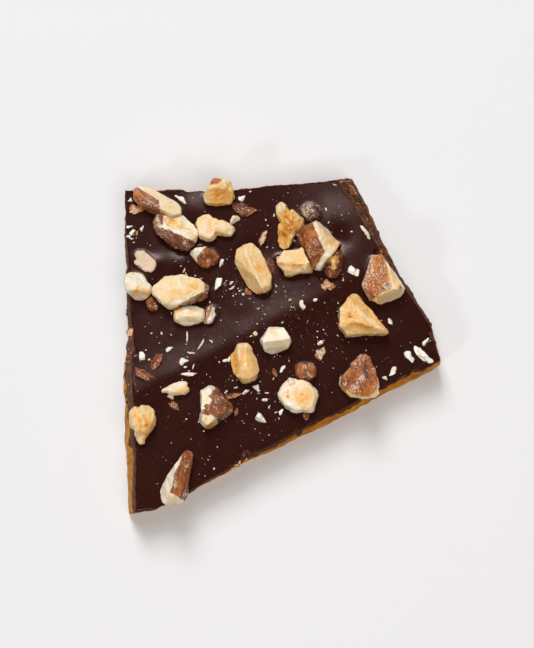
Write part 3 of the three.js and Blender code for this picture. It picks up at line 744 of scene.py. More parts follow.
            ([(-3.6, -0.7), (0.5, -1.0)], 0.3, -0.07, 0.26), ([(-3.4, -3.3), (0.1, -2.8)], 0.3, -0.07, 0.26),
            ([(-0.2, 3.6), (2.0, 1.8), (4.2, -0.4)], 0.8, 0.05, 0.2),
        ],
        "cuts": [(50, 70, 2.7)],
    },
    "almond_low_husk": {
        "roast": 0.5, "craggy": 1.6, "dished": 1.2, "crisp": 0.8, "rust": 0.7, "frost": 0.15,
        "skin": ALL_OVER,
        "bare": [(0.0, 0.4, 1.15), (-0.2, -0.9, 0.8)],
        "stains_and_shade": [(-0.4, -2.4, 0.9, -0.3), (0.6, 1.0, 0.6, 0.3)],
        "knobs": [(-0.6, 1.1, 0.7, -0.5), (0.1, -0.2, 0.6, 0.3)],
        "cuts": [(190, 45, 1.5), (15, 40, 1.6)],
    },
    "almond_round_brown": {
        "roast": 0.4, "dished": 1.0, "trim": -0.3, "rust": 0.8, "frost": 0.35,
        "skin": ALL_OVER,
        "stains_and_shade": [(1.6, -0.8, 1.2, -0.3)],
        "dustings": [(-1.4, 0.6, 1.4, 0.6)],
        "bites": [
            (2.2, 1.8, 1.2, -0.5), (-1.9, -2.2, 1.2, -0.6), (2.0, -2.2, 1.0, -0.4), (-2.4, 1.6, 0.8, -0.3),
        ],
        "cuts": [(200, 35, 1.3), (20, 30, 1.6), (300, 30, 1.5), (100, 40, 1.5)],
    },
    "almond_right_edge": {
        "roast": 0.2, "craggy": 0.8, "dished": 0.6, "crisp": 0.8, "rust": 0.2, "frost": 0.48,
        "skin": [[(193, 0, -1.23), (118, 0, -2.88)]],
        "bare": [(-3.9, 2.7, 0.5)],
        "stains_and_shade": [
            (3.4, -1.9, 0.4, 0.8), (0.5, -3.4, 0.8, 0.2), (-1.0, -4.6, 0.6, 0.3), (1.2, -2.6, 0.5, 0.3),
        ],
        "dustings": [(-2.6, 1.0, 2.2, 0.2)],
        "strokes": [
            ([(1.0, 4.0), (3.2, 0.6), (4.2, -1.7)], 0.52, 0.05, -0.1),
            ([(1.9, 1.3), (2.7, -1.2)], 0.7, -0.05, 0.2),
            ([(1.6, -0.4), (2.4, -2.0), (4.0, -2.8)], 0.34, 0.07, -0.1),
        ],
    },
    "almond_right_wedge": {
        "roast": 0.4, "craggy": 1.3, "dished": 0.7, "crisp": 0.0,
        "stains_and_shade": [
            (-3.1, -0.8, 0.8, 0.42), (-1.7, -0.8, 0.7, 0.25), (-2.2, 2.3, 1.3, 0.14), (0.3, 0.8, 0.8, 0.22),
            (0.5, -3.5, 0.9, 0.32), (4.6, -2.9, 1.0, 0.16),
        ],
        "knobs": [(-3.1, -0.8, 0.8, -0.35), (1.5, 0.8, 0.8, -0.5)],
        "strokes": [
            ([(-1.7, 0.9), (0.2, -1.1), (1.6, -2.0), (2.7, -3.3), (4.0, -4.2)], 0.63, 0.2, -0.17),
            ([(-3.3, -1.7), (-1.2, -2.0)], 0.4, 0.12, -0.13),
            ([(-2.5, -2.7), (-0.9, -3.1)], 0.7, -0.07, 0.27), ([(1.3, 0.0), (4.8, -3.8)], 0.5, -0.05, 0.17),
            ([(-5.2, -1.7), (-5.0, 0.6)], 0.69, 0.05, -0.1),
        ],
    },
    "almond_white_block": {
        "roast": 0.06, "craggy": 0.4, "dished": 0.25, "rounded": 14, "crisp": 0.0, "trim": -0.12,
        "stains_and_shade": [(-0.6, 1.5, 0.8, 0.14), (-1.9, -1.3, 0.25, 0.3), (1.0, -2.4, 1.8, 0.1)],
        "cuts": [(280, 42, 2.15), (95, 40, 2.9)],
    },
    "almond_golden": {
        "roast": 0.41, "craggy": 0.4, "dished": 0.45, "rounded": 2,
        "stains_and_shade": [
            (-0.3, -1.4, 1.0, 0.12), (0.2, -0.8, 0.35, -0.45), (-0.4, -1.5, 0.3, -0.45),
            (-1.5, -2.9, 0.25, -0.55),
        ],
        "strokes": [
            ([(-2.0, 4.0), (1.3, 3.7)], 0.46, 0.05, -0.23), ([(-1.3, 3.6), (-1.2, 0.0)], 0.32, 0.12, -0.1),
            ([(-2.2, 1.6), (-1.7, -2.4)], 0.6, -0.05, 0.34),
        ],
        "bites": [(-2.9, 3.0, 0.9, -0.5), (2.9, 2.6, 1.0, -0.5)],
        "cuts": [(185, 50, 1.9), (15, 45, 2.1), (80, 80, 2.1)],
    },
    "almond_round_pale": {
        "roast": 0.1, "craggy": 1.8, "dished": 0.3,
        "stains_and_shade": [
            (0.9, -0.7, 2.3, 0.36), (1.7, 0.9, 1.4, 0.12), (-2.4, -0.4, 0.36, 0.85), (-2.6, 0.6, 0.3, 0.6),
            (0.6, 0.2, 0.32, 0.5),
        ],
        "knobs": [(-1.6, 3.0, 0.6, 0.6), (0.8, -0.3, 1.8, -0.4), (-0.7, 2.6, 0.5, -0.3)],
        "strokes": [([(-2.1, -2.0), (0.0, -3.2)], 0.69, 0.07, -0.15)],
        "bites": [
            (-4.0, -2.3, 0.9, -0.4), (-0.2, 3.9, 0.5, -0.5), (3.9, 2.2, 0.9, -0.4), (3.2, -2.7, 1.0, 0.25),
            (-4.2, 0.4, 0.8, 0.5), (-1.8, 3.4, 0.6, 0.5), (0.9, -4.0, 0.9, -0.3),
        ],
        "cuts": [(0, 90, 1.9)],
    },
    "almond_skin_chip": {
        "roast": 0.4, "craggy": 1.5, "dished": 1.6, "crisp": 0.9, "rust": 0.45, "frost": 0.16,
        "skin": ALL_OVER,
        "bites": [(0.0, 2.2, 0.8, -0.3), (2.6, 0.0, 0.7, -0.3)],
    },
    "almond_teardrop": {
        "roast": 0.24, "craggy": 1.2, "dished": 0.7, "grain": 78, "rust": 0.3, "frost": 0.24,
        "skin": [[(95, 80, 1.0), (45, 0, -4.3)]],
        "stains_and_shade": [(-1.1, 2.6, 0.5, -0.3), (3.1, -3.0, 0.6, -0.4), (-3.6, -3.4, 1.5, 0.3)],
        "dustings": [(0.6, -0.7, 0.8, 0.35)],
        "strokes": [
            ([(1.1, 2.8), (1.3, 0.6), (1.5, -0.7)], 0.4, -0.15, 0.6),
            ([(-0.9, -1.6), (0.4, -3.4)], 0.4, -0.12, 0.5), ([(0.7, -4.0), (2.4, -4.0)], 0.4, 0.0, -0.15),
        ],
        "bites": [(-2.6, 2.6, 1.8, -0.45), (3.2, 3.2, 1.6, -0.45), (4.4, -3.0, 0.6, -0.3)],
    },
    "almond_heart": {
        "roast": 0.1, "dished": 0.7, "crisp": 0.8, "grain": 20, "rust": 0.52, "frost": 0.3,
        "skin": [[(333, 0, -2.4), (45, 0, -2.05)]],
        "patches": [(-2.2, -1.2, 0.9)],
        "bare": [(-1.9, 1.2, 0.8)],
        "stains_and_shade": [(-2.2, -3.0, 0.3, 0.5)],
        "dustings": [(0.8, 1.4, 1.3, 0.3)],
        "strokes": [
            ([(-2.6, -4.8), (1.6, -3.1)], 0.45, -0.05, 0.64),
            ([(-2.5, -1.1), (-0.2, -0.7)], 0.3, -0.12, 0.09),
            ([(-2.6, -1.9), (-1.0, -2.0)], 0.3, -0.07, 0.26),
        ],
        "cuts": [(5, 55, 2.2)],
    },
    "almond_nibbed": {
        "roast": 0.36, "craggy": 1.2, "dished": 0.35, "crisp": 0.0,
        "stains_and_shade": [(-1.7, 1.6, 0.6, 0.4), (1.9, -0.4, 0.8, 0.3), (0.7, -1.9, 0.6, 0.3)],
        "strokes": [
            ([(-2.2, 2.4), (-2.0, -0.4), (-1.3, -1.9), (-0.6, -4.0)], 0.46, 0.1, -0.1),
            ([(0.0, 1.9), (0.3, 0.5), (0.4, -0.6), (-0.2, -1.8)], 0.32, 0.15, -0.12),
            ([(-0.6, 0.8), (-0.4, -1.0)], 0.45, -0.15, 0.31), ([(0.9, 1.2), (1.0, -0.7)], 0.5, -0.12, 0.27),
            ([(-1.9, 3.3), (1.8, 3.0)], 0.46, 0.07, -0.07),
        ],
        "bites": [(-0.9, 4.0, 0.5, -0.5), (-0.9, -1.8, 0.75, 0.7), (0.9, -1.8, 0.75, 0.7)],
    },
    "almond_front_wedge": {
        "roast": 0.09, "dished": 0.7, "crisp": 0.8, "grain": 78, "rust": 0.35, "frost": 0.22,
        "skin": [[(342, 0, -0.2), (58, 0, -3.57)]],
        "stains_and_shade": [(-2.4, -2.8, 0.7, 0.12), (-0.5, -5.7, 0.9, 0.3), (1.8, 4.2, 0.9, -0.2)],
        "dustings": [(-0.6, -2.2, 0.9, 0.45), (2.1, 2.5, 0.8, 0.35), (1.8, -3.6, 0.8, 0.35)],
        "strokes": [
            ([(0.8, 1.0), (0.8, -4.2)], 0.57, 0.0, -0.15), ([(2.2, 2.0), (1.9, -4.0)], 0.5, 0.0, 0.34),
        ],
        "bites": [(-1.4, 3.6, 1.2, -0.4)],
        "cuts": [(348, 45, 2.2), (195, 40, 2.6)],
    },
    "almond_splinter": {
        "roast": 0.13, "dished": 0.6,
        "strokes": [
            ([(0.8, -1.0), (2.5, -0.3)], 0.5, -0.1, 0.31), ([(0.9, -0.4), (2.4, 0.5)], 0.25, -0.15, 0.26),
        ],
        "bites": [(-1.9, 1.1, 0.8, -0.5), (-2.1, -1.3, 0.7, -0.4), (3.0, 0.7, 0.5, -0.5)],
    },
}
NUT_VOXEL = 0.15
CUT_ANGLE = math.radians(48)
CUT_ROUND = 0.45
WELD = 0.002
FAR_BELOW = Vector((0, 0, -1000))
RELAX_STEPS = (0.5, -0.51)
CRISP_PASSES, SOFT_PASSES, CUT_PASSES, BODY_PASSES = 5, 110, 10, 14
FLESH_CRAGS = [(1.6, 0.10), (0.8, 0.08), (0.45, 0.05)]
DISH_SHARE, DISH_LARGEST, DISH_DEPTH, DISH_LEVEL = 0.4, 3.4, 0.32, 0.3
SKIN_RAGGED = [(1.6, 0.18), (0.6, 0.14), (0.3, 0.08)]
SKIN_CRAGS = [(1.1, 0.17), (0.55, 0.11), (0.3, 0.04)]
SKIN_STREAKS = [(1.2, 0.22), (0.6, 0.18)]
SKIN_EDGE, SKIN_STEP = 0.2, 0.07
SKIN_CALM, LEAST_BARK = 0.6, 0.8
GRAIN_STRETCH = 0.62
SPOT_WARP = [(1.1, 0.45), (0.5, 0.2)]
STROKE_WARP = 0.35
TOP_FADE = 0.5
# Painted edge light: how far a point must stand out for full highlight or crease shade, and its share in
# frost and in the skin's rust.
EDGE_SHADING_DEPTH = 0.045
WORN_FROST, EDGE_SHADING_RUST = 0.3, 0.15
FROST_STREAKS = [(1.8, 0.24), (0.8, 0.24), (0.4, 0.16)]

FLESH_ROAST = [
    (0.0, (0.95, 0.91, 0.82)), (0.05, (0.94, 0.85, 0.68)), (0.15, (0.9, 0.74, 0.52)),
    (0.3, (0.89, 0.63, 0.31)), (0.5, (0.87, 0.51, 0.18)), (0.7, (0.8, 0.39, 0.075)),
    (0.85, (0.58, 0.22, 0.032)), (0.95, (0.28, 0.088, 0.018)), (1.0, (0.145, 0.042, 0.012)),
]
SKIN_RUST = [(0.0, (0.55, 0.18, 0.024)), (0.4, (0.29, 0.082, 0.024)), (1.0, (0.085, 0.027, 0.012))]
NUT_FROST = (0.80, 0.66, 0.52)


def ramp(tree, value, stops):
    """Turns a value into a colour by stops, each a value and its colour."""
    node = tree.nodes.new("ShaderNodeValToRGB")
    tree.links.new(value, node.inputs["Fac"])
    points = node.color_ramp.elements
    while len(points) < len(stops):
        points.new(0.5)
    for point, (place, colour) in zip(points, stops):
        point.position = place
        point.color = (*colour, 1)
    return node.outputs["Color"]


almond_finish, tree, shader = start_material("roasted_almond")
wear_and_edge_shading = painted(tree, "wear_and_edge_shading")
mottle = stretch(tree, noise(tree, 2.2), 0.3, 0.7, -0.06, 0.06)
baked = painted(tree, "roast")
speckle = stretch(tree, noise(tree, 0.55, detail=4, rough=0.7), 0.32, 0.68, -0.5, 0.5)
speckle = calculate(tree, "MULTIPLY", speckle, stretch(tree, baked, 0, 0.35, 0.06, 0.26))
roast = calculate(tree, "ADD", baked, calculate(tree, "ADD", mottle, speckle))
# Painted light: edges that stand out are made paler as highlight, and creases are given a deeper roast as
# shade.
roast = calculate(tree, "SUBTRACT", roast, stretch(tree, wear_and_edge_shading, -1, 1, -0.24, 0.24))
roast = calculate(tree, "ADD", roast, stretch(tree, wear_and_edge_shading, 0, 1, 0.0, 0.12))
flesh = ramp(tree, roast, FLESH_ROAST)
blotch = stretch(tree, noise(tree, 1.0, detail=4, rough=0.65), 0.3, 0.7, -0.3, 0.3)
husk = ramp(tree, calculate(tree, "ADD", painted(tree, "rust"), blotch), SKIN_RUST)
sifted = stretch(tree, noise(tree, 0.36, rough=0.6), 0.3, 0.7, -0.55, 0.55)
powder = stretch(tree, calculate(tree, "ADD", painted(tree, "frost"), sifted), 0.45, 0.78, 0.0, 0.85)
husk = blend(tree, powder, husk, NUT_FROST)
skin = painted(tree, "skin")
tree.links.new(blend(tree, skin, flesh, husk), shader.inputs["Base Color"])
oily = stretch(tree, baked, 0.2, 0.9, 0.42, 0.28)
oily = calculate(tree, "SUBTRACT", oily, calculate(tree, "MULTIPLY", skin, 0.08))
dusty = stretch(tree, powder, 0, 1, -0.06, 0.25)
tree.links.new(calculate(tree, "ADD", oily, dusty), shader.inputs["Roughness"])
shader.inputs["Specular IOR Level"].default_value = 0.42
shader.inputs["Subsurface Weight"].default_value = 0.25
shader.inputs["Subsurface Radius"].default_value = (1.0, 0.85, 0.7)
shader.inputs["Subsurface Scale"].default_value = 0.8 * MM
coarse = bump(tree, shader, noise(tree, 0.6, detail=4, rough=0.7), depth=0.18)
bump(tree, shader, noise(tree, 0.25, rough=0.6), depth=0.12, before=coarse)


def facing(bearing, pitch):
    """The direction at a bearing from +X and a pitch above the table, in degrees."""
    turn, rise = math.radians(bearing), math.radians(pitch)
    return np.array([math.cos(turn) * math.cos(rise), math.sin(turn) * math.cos(rise), math.sin(rise)])


def cut_edges(mesh):
    """Points along the edges where two knife cuts meet, and one far below for pieces without such edges."""
    form = bmesh.new()
    form.from_mesh(mesh)
    bmesh.ops.remove_doubles(form, verts=form.verts, dist=WELD * MM)
    points = []
    for edge in form.edges:
        if len(edge.link_faces) == 2 and edge.calc_face_angle() > CUT_ANGLE:
            first, last = (vertex.co / MM for vertex in edge.verts)
            steps = max(2, int((last - first).length / (CUT_ROUND / 2)))
            points += [first.lerp(last, i / steps) for i in range(steps + 1)]
    form.free()
    tree = KDTree(len(points) + 1)
    tree.insert(FAR_BELOW, 0)
    for i, point in enumerate(points):
        tree.insert(point, i + 1)
    tree.balance()
    return tree


def remeshed(source):
    """An even fine mesh over a node's solid: points in millimetres, edges and faces."""
    copy = bpy.data.objects.new("fine", source.data.copy())
    bpy.context.scene.collection.objects.link(copy)
    voxels = copy.modifiers.new("voxels", "REMESH")
    voxels.mode = "VOXEL"
    voxels.voxel_size = NUT_VOXEL * MM
    mesh = bpy.data.meshes.new_from_object(copy.evaluated_get(bpy.context.evaluated_depsgraph_get()))
    bpy.data.objects.remove(copy)
    points = np.empty(len(mesh.vertices) * 3)
    mesh.vertices.foreach_get("co", points)
    edges = np.empty(len(mesh.edges) * 2, int)
    mesh.edges.foreach_get("vertices", edges)
    faces = np.array([list(polygon.vertices) for polygon in mesh.polygons])
    return points.reshape(-1, 3) / MM, edges.reshape(-1, 2), faces


def relaxed(points, edges, passes):
    """Smooths without shrinking: points go towards the middle of their neighbours, then back a bit more."""
    first, last = edges.T
    number = len(points)
    links = np.maximum(np.bincount(edges.ravel(), minlength=number), 1)[:, None]
    for step in RELAX_STEPS * passes:
        total = np.column_stack([
            np.bincount(first, points[last, axis], number) + np.bincount(last, points[first, axis], number)
            for axis in range(3)
        ])
        points = points + step * (total / links - points)
    return points


def point_normals(points, faces):
    """Unit normals at the points of a mesh of four-sided faces."""
    corner = points[faces]
    across = np.cross(corner[:, 2] - corner[:, 0], corner[:, 3] - corner[:, 1])
    total = np.column_stack([
        sum(np.bincount(faces[:, i], across[:, axis], len(points)) for i in range(4)) for axis in range(3)
    ])
    return total / np.maximum(np.linalg.norm(total, axis=1, keepdims=True), 1e-9)


def spots(plan, rows):
    """Soft round spots added up: x, y, radius and amount of each."""
    total = np.zeros(len(plan))
    for x, y, radius, amount in rows:
        total += amount * np.exp(-((plan[:, 0] - x) ** 2 + (plan[:, 1] - y) ** 2) / radius ** 2)
    return total


def finish_nut(piece, skin, roast, rust, frost, wear_and_edge_shading):
    """Stores what the almond finish reads: skin or flesh, its colours, its dust, and how far each point
    stands out, for painted edge highlight and crease shade.
    """
    for name, values in [("skin", skin), ("roast", roast), ("rust", rust), ("frost", frost), ("wear_and_edge_shading", wear_and_edge_shading)]:
        paint(piece, name, values)


def chopped(source, nut, middle):
    """The chopped form: a node's solid worn soft away from the knife's edges, with flats cut off it."""
    points, edges, faces = remeshed(source)
    crisp = relaxed(points, edges, CRISP_PASSES)
    soft = relaxed(crisp, edges, SOFT_PASSES * nut["rounded"])
    cuts = cut_edges(source.data)
    near = np.array([cuts.find(Vector(point))[2] for point in points]) / CUT_ROUND
    points = mix(soft, crisp, nut["crisp"] * np.exp(-near * near)[:, None])
    for bearing, pitch, distance in nut["cuts"]:
        side = facing(bearing, pitch)
        over = np.maximum(0, (points - middle) @ side - distance)
        points = points - np.outer(over, side)
    if nut["cuts"]:
        points = relaxed(points, edges, CUT_PASSES * nut["rounded"])
    return points, edges, faces


def soft_edged(inside):
    """1 inside an outline and 0 outside it, with a narrow change between."""
    return np.clip(inside / SKIN_EDGE + 0.5, 0, 1)


def skin_cover(nut, spot, plan, ragged):
    """Where a piece still has its skin: 1 on skin and 0 on bare flesh."""
    skin = np.zeros(len(spot))
    for planes in nut["skin"]:
        depths = [spot @ facing(bearing, pitch) - distance for bearing, pitch, distance in planes]
        skin = np.maximum(skin, soft_edged(np.min(depths, axis=0) + ragged))
    for x, y, radius in nut["patches"]:
        skin = np.maximum(skin, soft_edged(radius - np.hypot(plan[:, 0] - x, plan[:, 1] - y)))
    for x, y, radius in nut["bare"]:
        skin = np.minimum(skin, soft_edged(np.hypot(plan[:, 0] - x, plan[:, 1] - y) - radius))
    return skin


for i, (name, given) in enumerate(ALMONDS.items()):
    nut = {**PLAIN_ALMOND, **given}
    low, high = (np.array(corner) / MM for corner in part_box(name))
    middle = (low + high) / 2
    points, edges, faces = chopped(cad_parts[name], nut, middle)
    normals = point_normals(points, faces)
    spot = points - middle
    warp = np.column_stack([crags(points, SPOT_WARP, seed=300 + i), crags(points, SPOT_WARP, seed=340 + i)])
    plan = spot[:, :2] + warp
    grain = facing(nut["grain"], 0)
    grained = points - np.outer(GRAIN_STRETCH * (points @ grain), grain)

    skin = skin_cover(nut, spot, plan, crags(points, SKIN_RAGGED, seed=200 + i))
    # Strokes: ridges raised and painted paler as highlight, cracks cut and painted darker as shade, on top
    # of their roast.
    crest, brown = strokes(spot[:, :2] + STROKE_WARP * warp, nut["strokes"])
    pitch = min(DISH_LARGEST, DISH_SHARE * np.mean(high - low))
    dented = DISH_DEPTH * pitch * (dishes(points, pitch, seed=120 + i) - DISH_LEVEL)
    rough = nut["craggy"] * crags(points, FLESH_CRAGS, seed=100 + i) + nut["dished"] * dented
    bark = max(LEAST_BARK, nut["craggy"]) * crags(grained, SKIN_CRAGS, seed=150 + i)
    lift = rough * (1 - SKIN_CALM * skin) + skin * (SKIN_STEP + bark)
    lift = lift + (spots(plan, nut["knobs"]) + crest) * np.clip(normals[:, 2] / TOP_FADE, 0, 1)
    lift = lift + spots(spot, nut["bites"]) + nut["trim"]
    points = points + normals * lift[:, None]
    piece = add_piece(name.replace("almond", "chopped_almond"), points, faces, almond_finish)

    # How far each point stands out of its smoothed form: ridges are painted paler as highlight and creases
    # darker as shade, with more frost and paler skin on ridges.
    stands_out = np.sum((points - relaxed(points, edges, BODY_PASSES)) * normals, axis=1)
    wear_and_edge_shading = np.clip(stands_out / EDGE_SHADING_DEPTH, -1, 1)
    # Spots of roast: partly real stains, partly painted shade on faces turned from the light.
    stains_and_shade = spots(plan, nut["stains_and_shade"]) + brown
    frost = nut["frost"] + spots(plan, nut["dustings"]) + WORN_FROST * wear_and_edge_shading
    frost = frost + crags(grained, FROST_STREAKS, seed=170 + i)
    rust = nut["rust"] + stains_and_shade + crags(grained, SKIN_STREAKS, seed=190 + i) - EDGE_SHADING_RUST * wear_and_edge_shading
    finish_nut(piece, skin, nut["roast"] + stains_and_shade, rust, frost, wear_and_edge_shading)
    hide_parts(name)

# Chips: splinters of bare almond flesh that the knife threw off, lying on the chocolate or half in it.
# Each is a broken lump: where it lies, its length and width, its turn from +X and its roast.
CHIPS = [
    (18.8, 23.7, 3.4, 1.2, -47, 0.1), (12.0, 34.8, 1.3, 0.6, -35, 0.35), (-33.2, 25.3, 1.3, 0.9, 20, 0.0),
    (-32.8, 24.0, 1.7, 0.9, 60, 0.02), (-33.4, 22.9, 1.1, 0.8, 0, 0.0), (-33.2, 31.3, 1.1, 0.9, 20, 0.02),
    (-30.6, 24.9, 1.2, 0.8, 70, 0.0), (-21.9, 31.4, 2.9, 1.1, -35, 0.06), (-8.7, 31.5, 1.5, 1.2, 30, 0.0),
    (-8.1, 32.0, 1.4, 1.1, 70, 0.0), (-9.9, 27.0, 2.5, 1.7, 40, 0.12), (15.5, 15.2, 2.0, 1.5, -35, 0.02),
    (16.8, 14.6, 2.0, 1.4, -20, 0.08), (24.1, 4.1, 2.2, 1.0, -52, 0.08), (-12.8, 17.3, 2.1, 0.9, 75, 0.05),
    (-13.7, 12.1, 2.8, 2.0, 60, 0.02), (-10.8, 12.5, 1.0, 0.7, 20, 0.0), (-10.3, 11.6, 1.3, 0.7, 50, 0.0),
    (-10.9, 11.2, 0.8, 0.6, 0, 0.05), (-21.2, 15.4, 1.1, 0.4, 60, 0.1), (-20.7, 14.5, 1.1, 0.4, -50, 0.1),
    (-30.5, -4.1, 2.7, 1.3, -70, 0.0), (-24.2, -2.3, 2.1, 0.9, 20, 0.02), (-20.5, 0.4, 2.1, 0.4, 88, 0.05),
    (-19.6, -3.2, 1.9, 0.5, -10, 0.3), (-19.0, -6.2, 1.5, 0.4, 75, 0.05), (-17.3, -1.3, 2.7, 0.8, 55, 0.04),
    (-21.5, -5.3, 2.1, 1.6, 30, 0.0), (-20.6, -6.4, 0.8, 0.5, 0, 0.0), (-20.2, -7.9, 3.5, 0.9, 8, 0.02),
    (-5.7, -10.5, 2.4, 2.0, 20, 0.0), (-7.4, -11.6, 2.0, 0.8, 40, 0.0), (-4.8, -11.4, 1.2, 0.5, -10, 0.0),
    (-9.9, -10.8, 1.6, 0.5, 30, 0.0), (-11.9, -11.8, 1.0, 0.5, 80, 0.0), (-3.8, -17.6, 2.3, 2.2, 150, 0.0),
    (-3.2, -13.5, 1.3, 0.6, 0, 0.0), (-2.9, -11.9, 1.1, 0.6, 10, 0.0), (-2.5, -15.1, 1.2, 0.7, 70, 0.02),
    (0.2, -16.1, 1.5, 0.8, 60, 0.0), (-0.8, -16.2, 0.8, 0.5, 20, 0.0), (0.7, -6.6, 1.9, 0.9, 50, 0.02),
    (-12.0, -4.8, 1.3, 0.9, 10, 0.0), (-11.3, -4.5, 1.2, 0.8, 50, 0.0), (-5.4, 1.1, 1.3, 0.9, 20, 0.2),
    (8.9, -1.0, 1.4, 1.0, 40, 0.0), (24.8, -7.0, 2.9, 1.8, 35, 0.0), (23.0, -8.7, 1.9, 0.7, -50, 0.05),
    (31.6, -3.7, 4.6, 2.6, -35, 0.0), (30.6, -2.9, 2.0, 1.6, -60, 0.0), (28.7, -4.3, 2.6, 1.7, -45, 0.0),
    (31.8, -0.8, 2.2, 0.8, 50, 0.0), (-24.0, -12.9, 1.5, 1.2, 0, 0.25), (4.9, 7.5, 2.2, 1.4, 50, 0.1),
    (7.8, 8.7, 1.3, 0.7, 30, 0.05), (2.4, 8.7, 1.2, 0.8, 60, 0.5),
]
CHIP_CRAGS = [(1.3, 0.14), (0.6, 0.10), (0.3, 0.05)]
CHIP_COARSE = 1.6
CHIP_BURST = np.array([1.3, 1, 0.8])
CHIP_FLATS, FLAT_PITCHES, FLAT_REACHES = 7, (-40, 70), (0.25, 0.7)
CHIP_SWELL = 1.2
CHIP_THICK, CHIP_LEAST = 0.5, 0.3
# Chips: how deep they sink, and an even share of the painted edge highlight.
CHIP_SUNK, CHIP_EDGE_SHADING = 0.3, 0.25
NOISE_SPAN = 90

form = bmesh.new()
bmesh.ops.create_icosphere(form, subdivisions=4, radius=1)
ball = np.array([tuple(vertex.co) for vertex in form.verts])
ball_faces = [[vertex.index for vertex in face.verts] for face in form.faces]
form.free()


def turned(points, turn):
    """Points turned about the upright by some degrees."""
    bearing = math.radians(turn)
    along = np.array([[math.cos(bearing), math.sin(bearing)], [-math.sin(bearing), math.cos(bearing)]])
    return np.column_stack([points[:, :2] @ along, points[:, 2]])


def lump(rng, length, width, height, turn):
    """A broken lump: a ball with flats knocked off, squeezed to size, roughened and turned."""
    points = ball
    for _ in range(CHIP_FLATS):
        side = facing(rng.uniform(0, 360), rng.uniform(*FLAT_PITCHES))
        over = np.maximum(0, points @ side - rng.uniform(*FLAT_REACHES))
        points = points - np.outer(over, side)
    points = points * np.array([length, width, height]) / 2
    spot = points / width * CHIP_COARSE + rng.uniform(0, NOISE_SPAN, 3)
    rough = width * crags(spot, CHIP_CRAGS, seed=400)
    points = points + ball * CHIP_BURST * rough[:, None]
    return turned(points, turn)


def strew(name, crumbs, finish):
    """Joins crumbs into one piece with an almond finish. Each has its points and faces, its place on
    the chocolate or in the break, how deep it sinks, its skin, roast, rust and frost, and its painted edge
    light."""
    beds = poured(np.array([place[:2] for _, _, place, _, _ in crumbs], float))[:, 2]
    points, faces, looks, first = [], [], [], 0
    for (corners, sides, (x, y, *level), sunk, look), bed in zip(crumbs, beds):
        lift = level[0] if level else bed - corners[:, 2].min() - sunk
        points.append(corners + np.array([x, y, lift]))
        faces += [[first + i for i in side] for side in sides]
        looks.append(np.column_stack([np.broadcast_to(value, len(corners)) for value in look]))
        first += len(corners)
    piece = add_piece(name, np.concatenate(points), faces, finish)
    finish_nut(piece, *np.concatenate(looks).T)
    return piece


chip_finish = almond_finish.copy()
chip_finish.name = "almond_chip"
chip_finish.node_tree.nodes["Principled BSDF"].inputs["Subsurface Weight"].default_value = 0.1

rng = np.random.default_rng(11)
chips = []
for x, y, length, width, turn, roast in CHIPS:
    length, width = CHIP_SWELL * length, CHIP_SWELL * width
    height = CHIP_THICK * width + CHIP_LEAST
    corners = lump(rng, length, width, height, turn)
    chips.append((corners, ball_faces, (x, y), CHIP_SUNK * height, (0, roast, 0, 0, CHIP_EDGE_SHADING)))
strew("white_chips", chips, chip_finish)

# Bits in the break: nut that was snapped through with the slab, and the crumbs that cling to its broken
# sides. Each bit is where it sticks out, its length, width and height, its turn, and its skin, roast, rust
# and frost.
BROKEN_BITS = [
    (16.6, 33.7, 5.0, 5.0, 3.1, 3.3, -58, 1, 0.5, 0.4, 0.25),
    (14.7, 35.9, 6.0, 1.5, 0.8, 0.8, -20, 0, 0.94, 0, 0),
    (15.4, 36.8, 3.0, 1.8, 1.0, 1.0, 30, 0, 0.92, 0, 0),
    (13.6, 35.6, 7.6, 0.9, 0.6, 0.6, 10, 0, 0.9, 0, 0),
    (17.6, 31.0, 3.4, 1.6, 0.9, 0.9, -60, 0, 0.85, 0, 0),
    (21.3, 20.0, 7.9, 1.7, 1.0, 0.9, 60, 1, 0.5, -0.1, 0.1),
    (22.2, 19.6, 7.6, 1.3, 0.8, 0.8, -50, 1, 0.5, 0.0, 0.1),
    (21.2, 20.7, 8.3, 0.6, 0.5, 0.5, 0, 0, 0.0, 0, 0),
    (-9.7, -27.8, 7.6, 1.6, 1.0, 0.9, 40, 0, 0.6, 0, 0),
    (-10.3, -28.4, 7.0, 1.2, 0.8, 0.8, 0, 0, 0.45, 0, 0),
    (-8.8, -27.1, 7.8, 1.0, 0.7, 0.6, 70, 0, 0.4, 0, 0),
    (-7.4, -26.5, 7.7, 0.8, 0.5, 0.5, 20, 0, 0.7, 0, 0),
]
# Crumbs on a break: how many, between which shares of its way, and the roast of the palest.
BREAK_CRUMBS = {"right": (50, 0.5, 1.0, 0.93), "left": (40, 0.0, 0.9, 0.75), "front": (14, 0.3, 0.5, 0.75)}
CRUMB_LEVELS = (0.1, 0.75)
CRUMB_LENGTHS, CRUMB_STOUT = (0.4, 1.1), 0.6

bits = []
for x, y, level, length, width, height, turn, *look in BROKEN_BITS:
    bits.append((lump(rng, length, width, height, turn), ball_faces, (x, y, level), 0, (*look, 0)))
for name, (number, first, last, palest) in BREAK_CRUMBS.items():
    for _ in range(number):
        share, level = rng.uniform(first, last), rng.uniform(*CRUMB_LEVELS)
        length = rng.uniform(*CRUMB_LENGTHS)
        corners = lump(rng, length, CRUMB_STOUT * length, CRUMB_STOUT * length, rng.uniform(0, 180))
        place = (*break_points(name, share, level), SLAB_THICKNESS * (1 - level))
        bits.append((corners, ball_faces, place, 0, (0, rng.uniform(palest, 1.0), 0, 0, 0)))
strew("bits_in_break", bits, chip_finish)

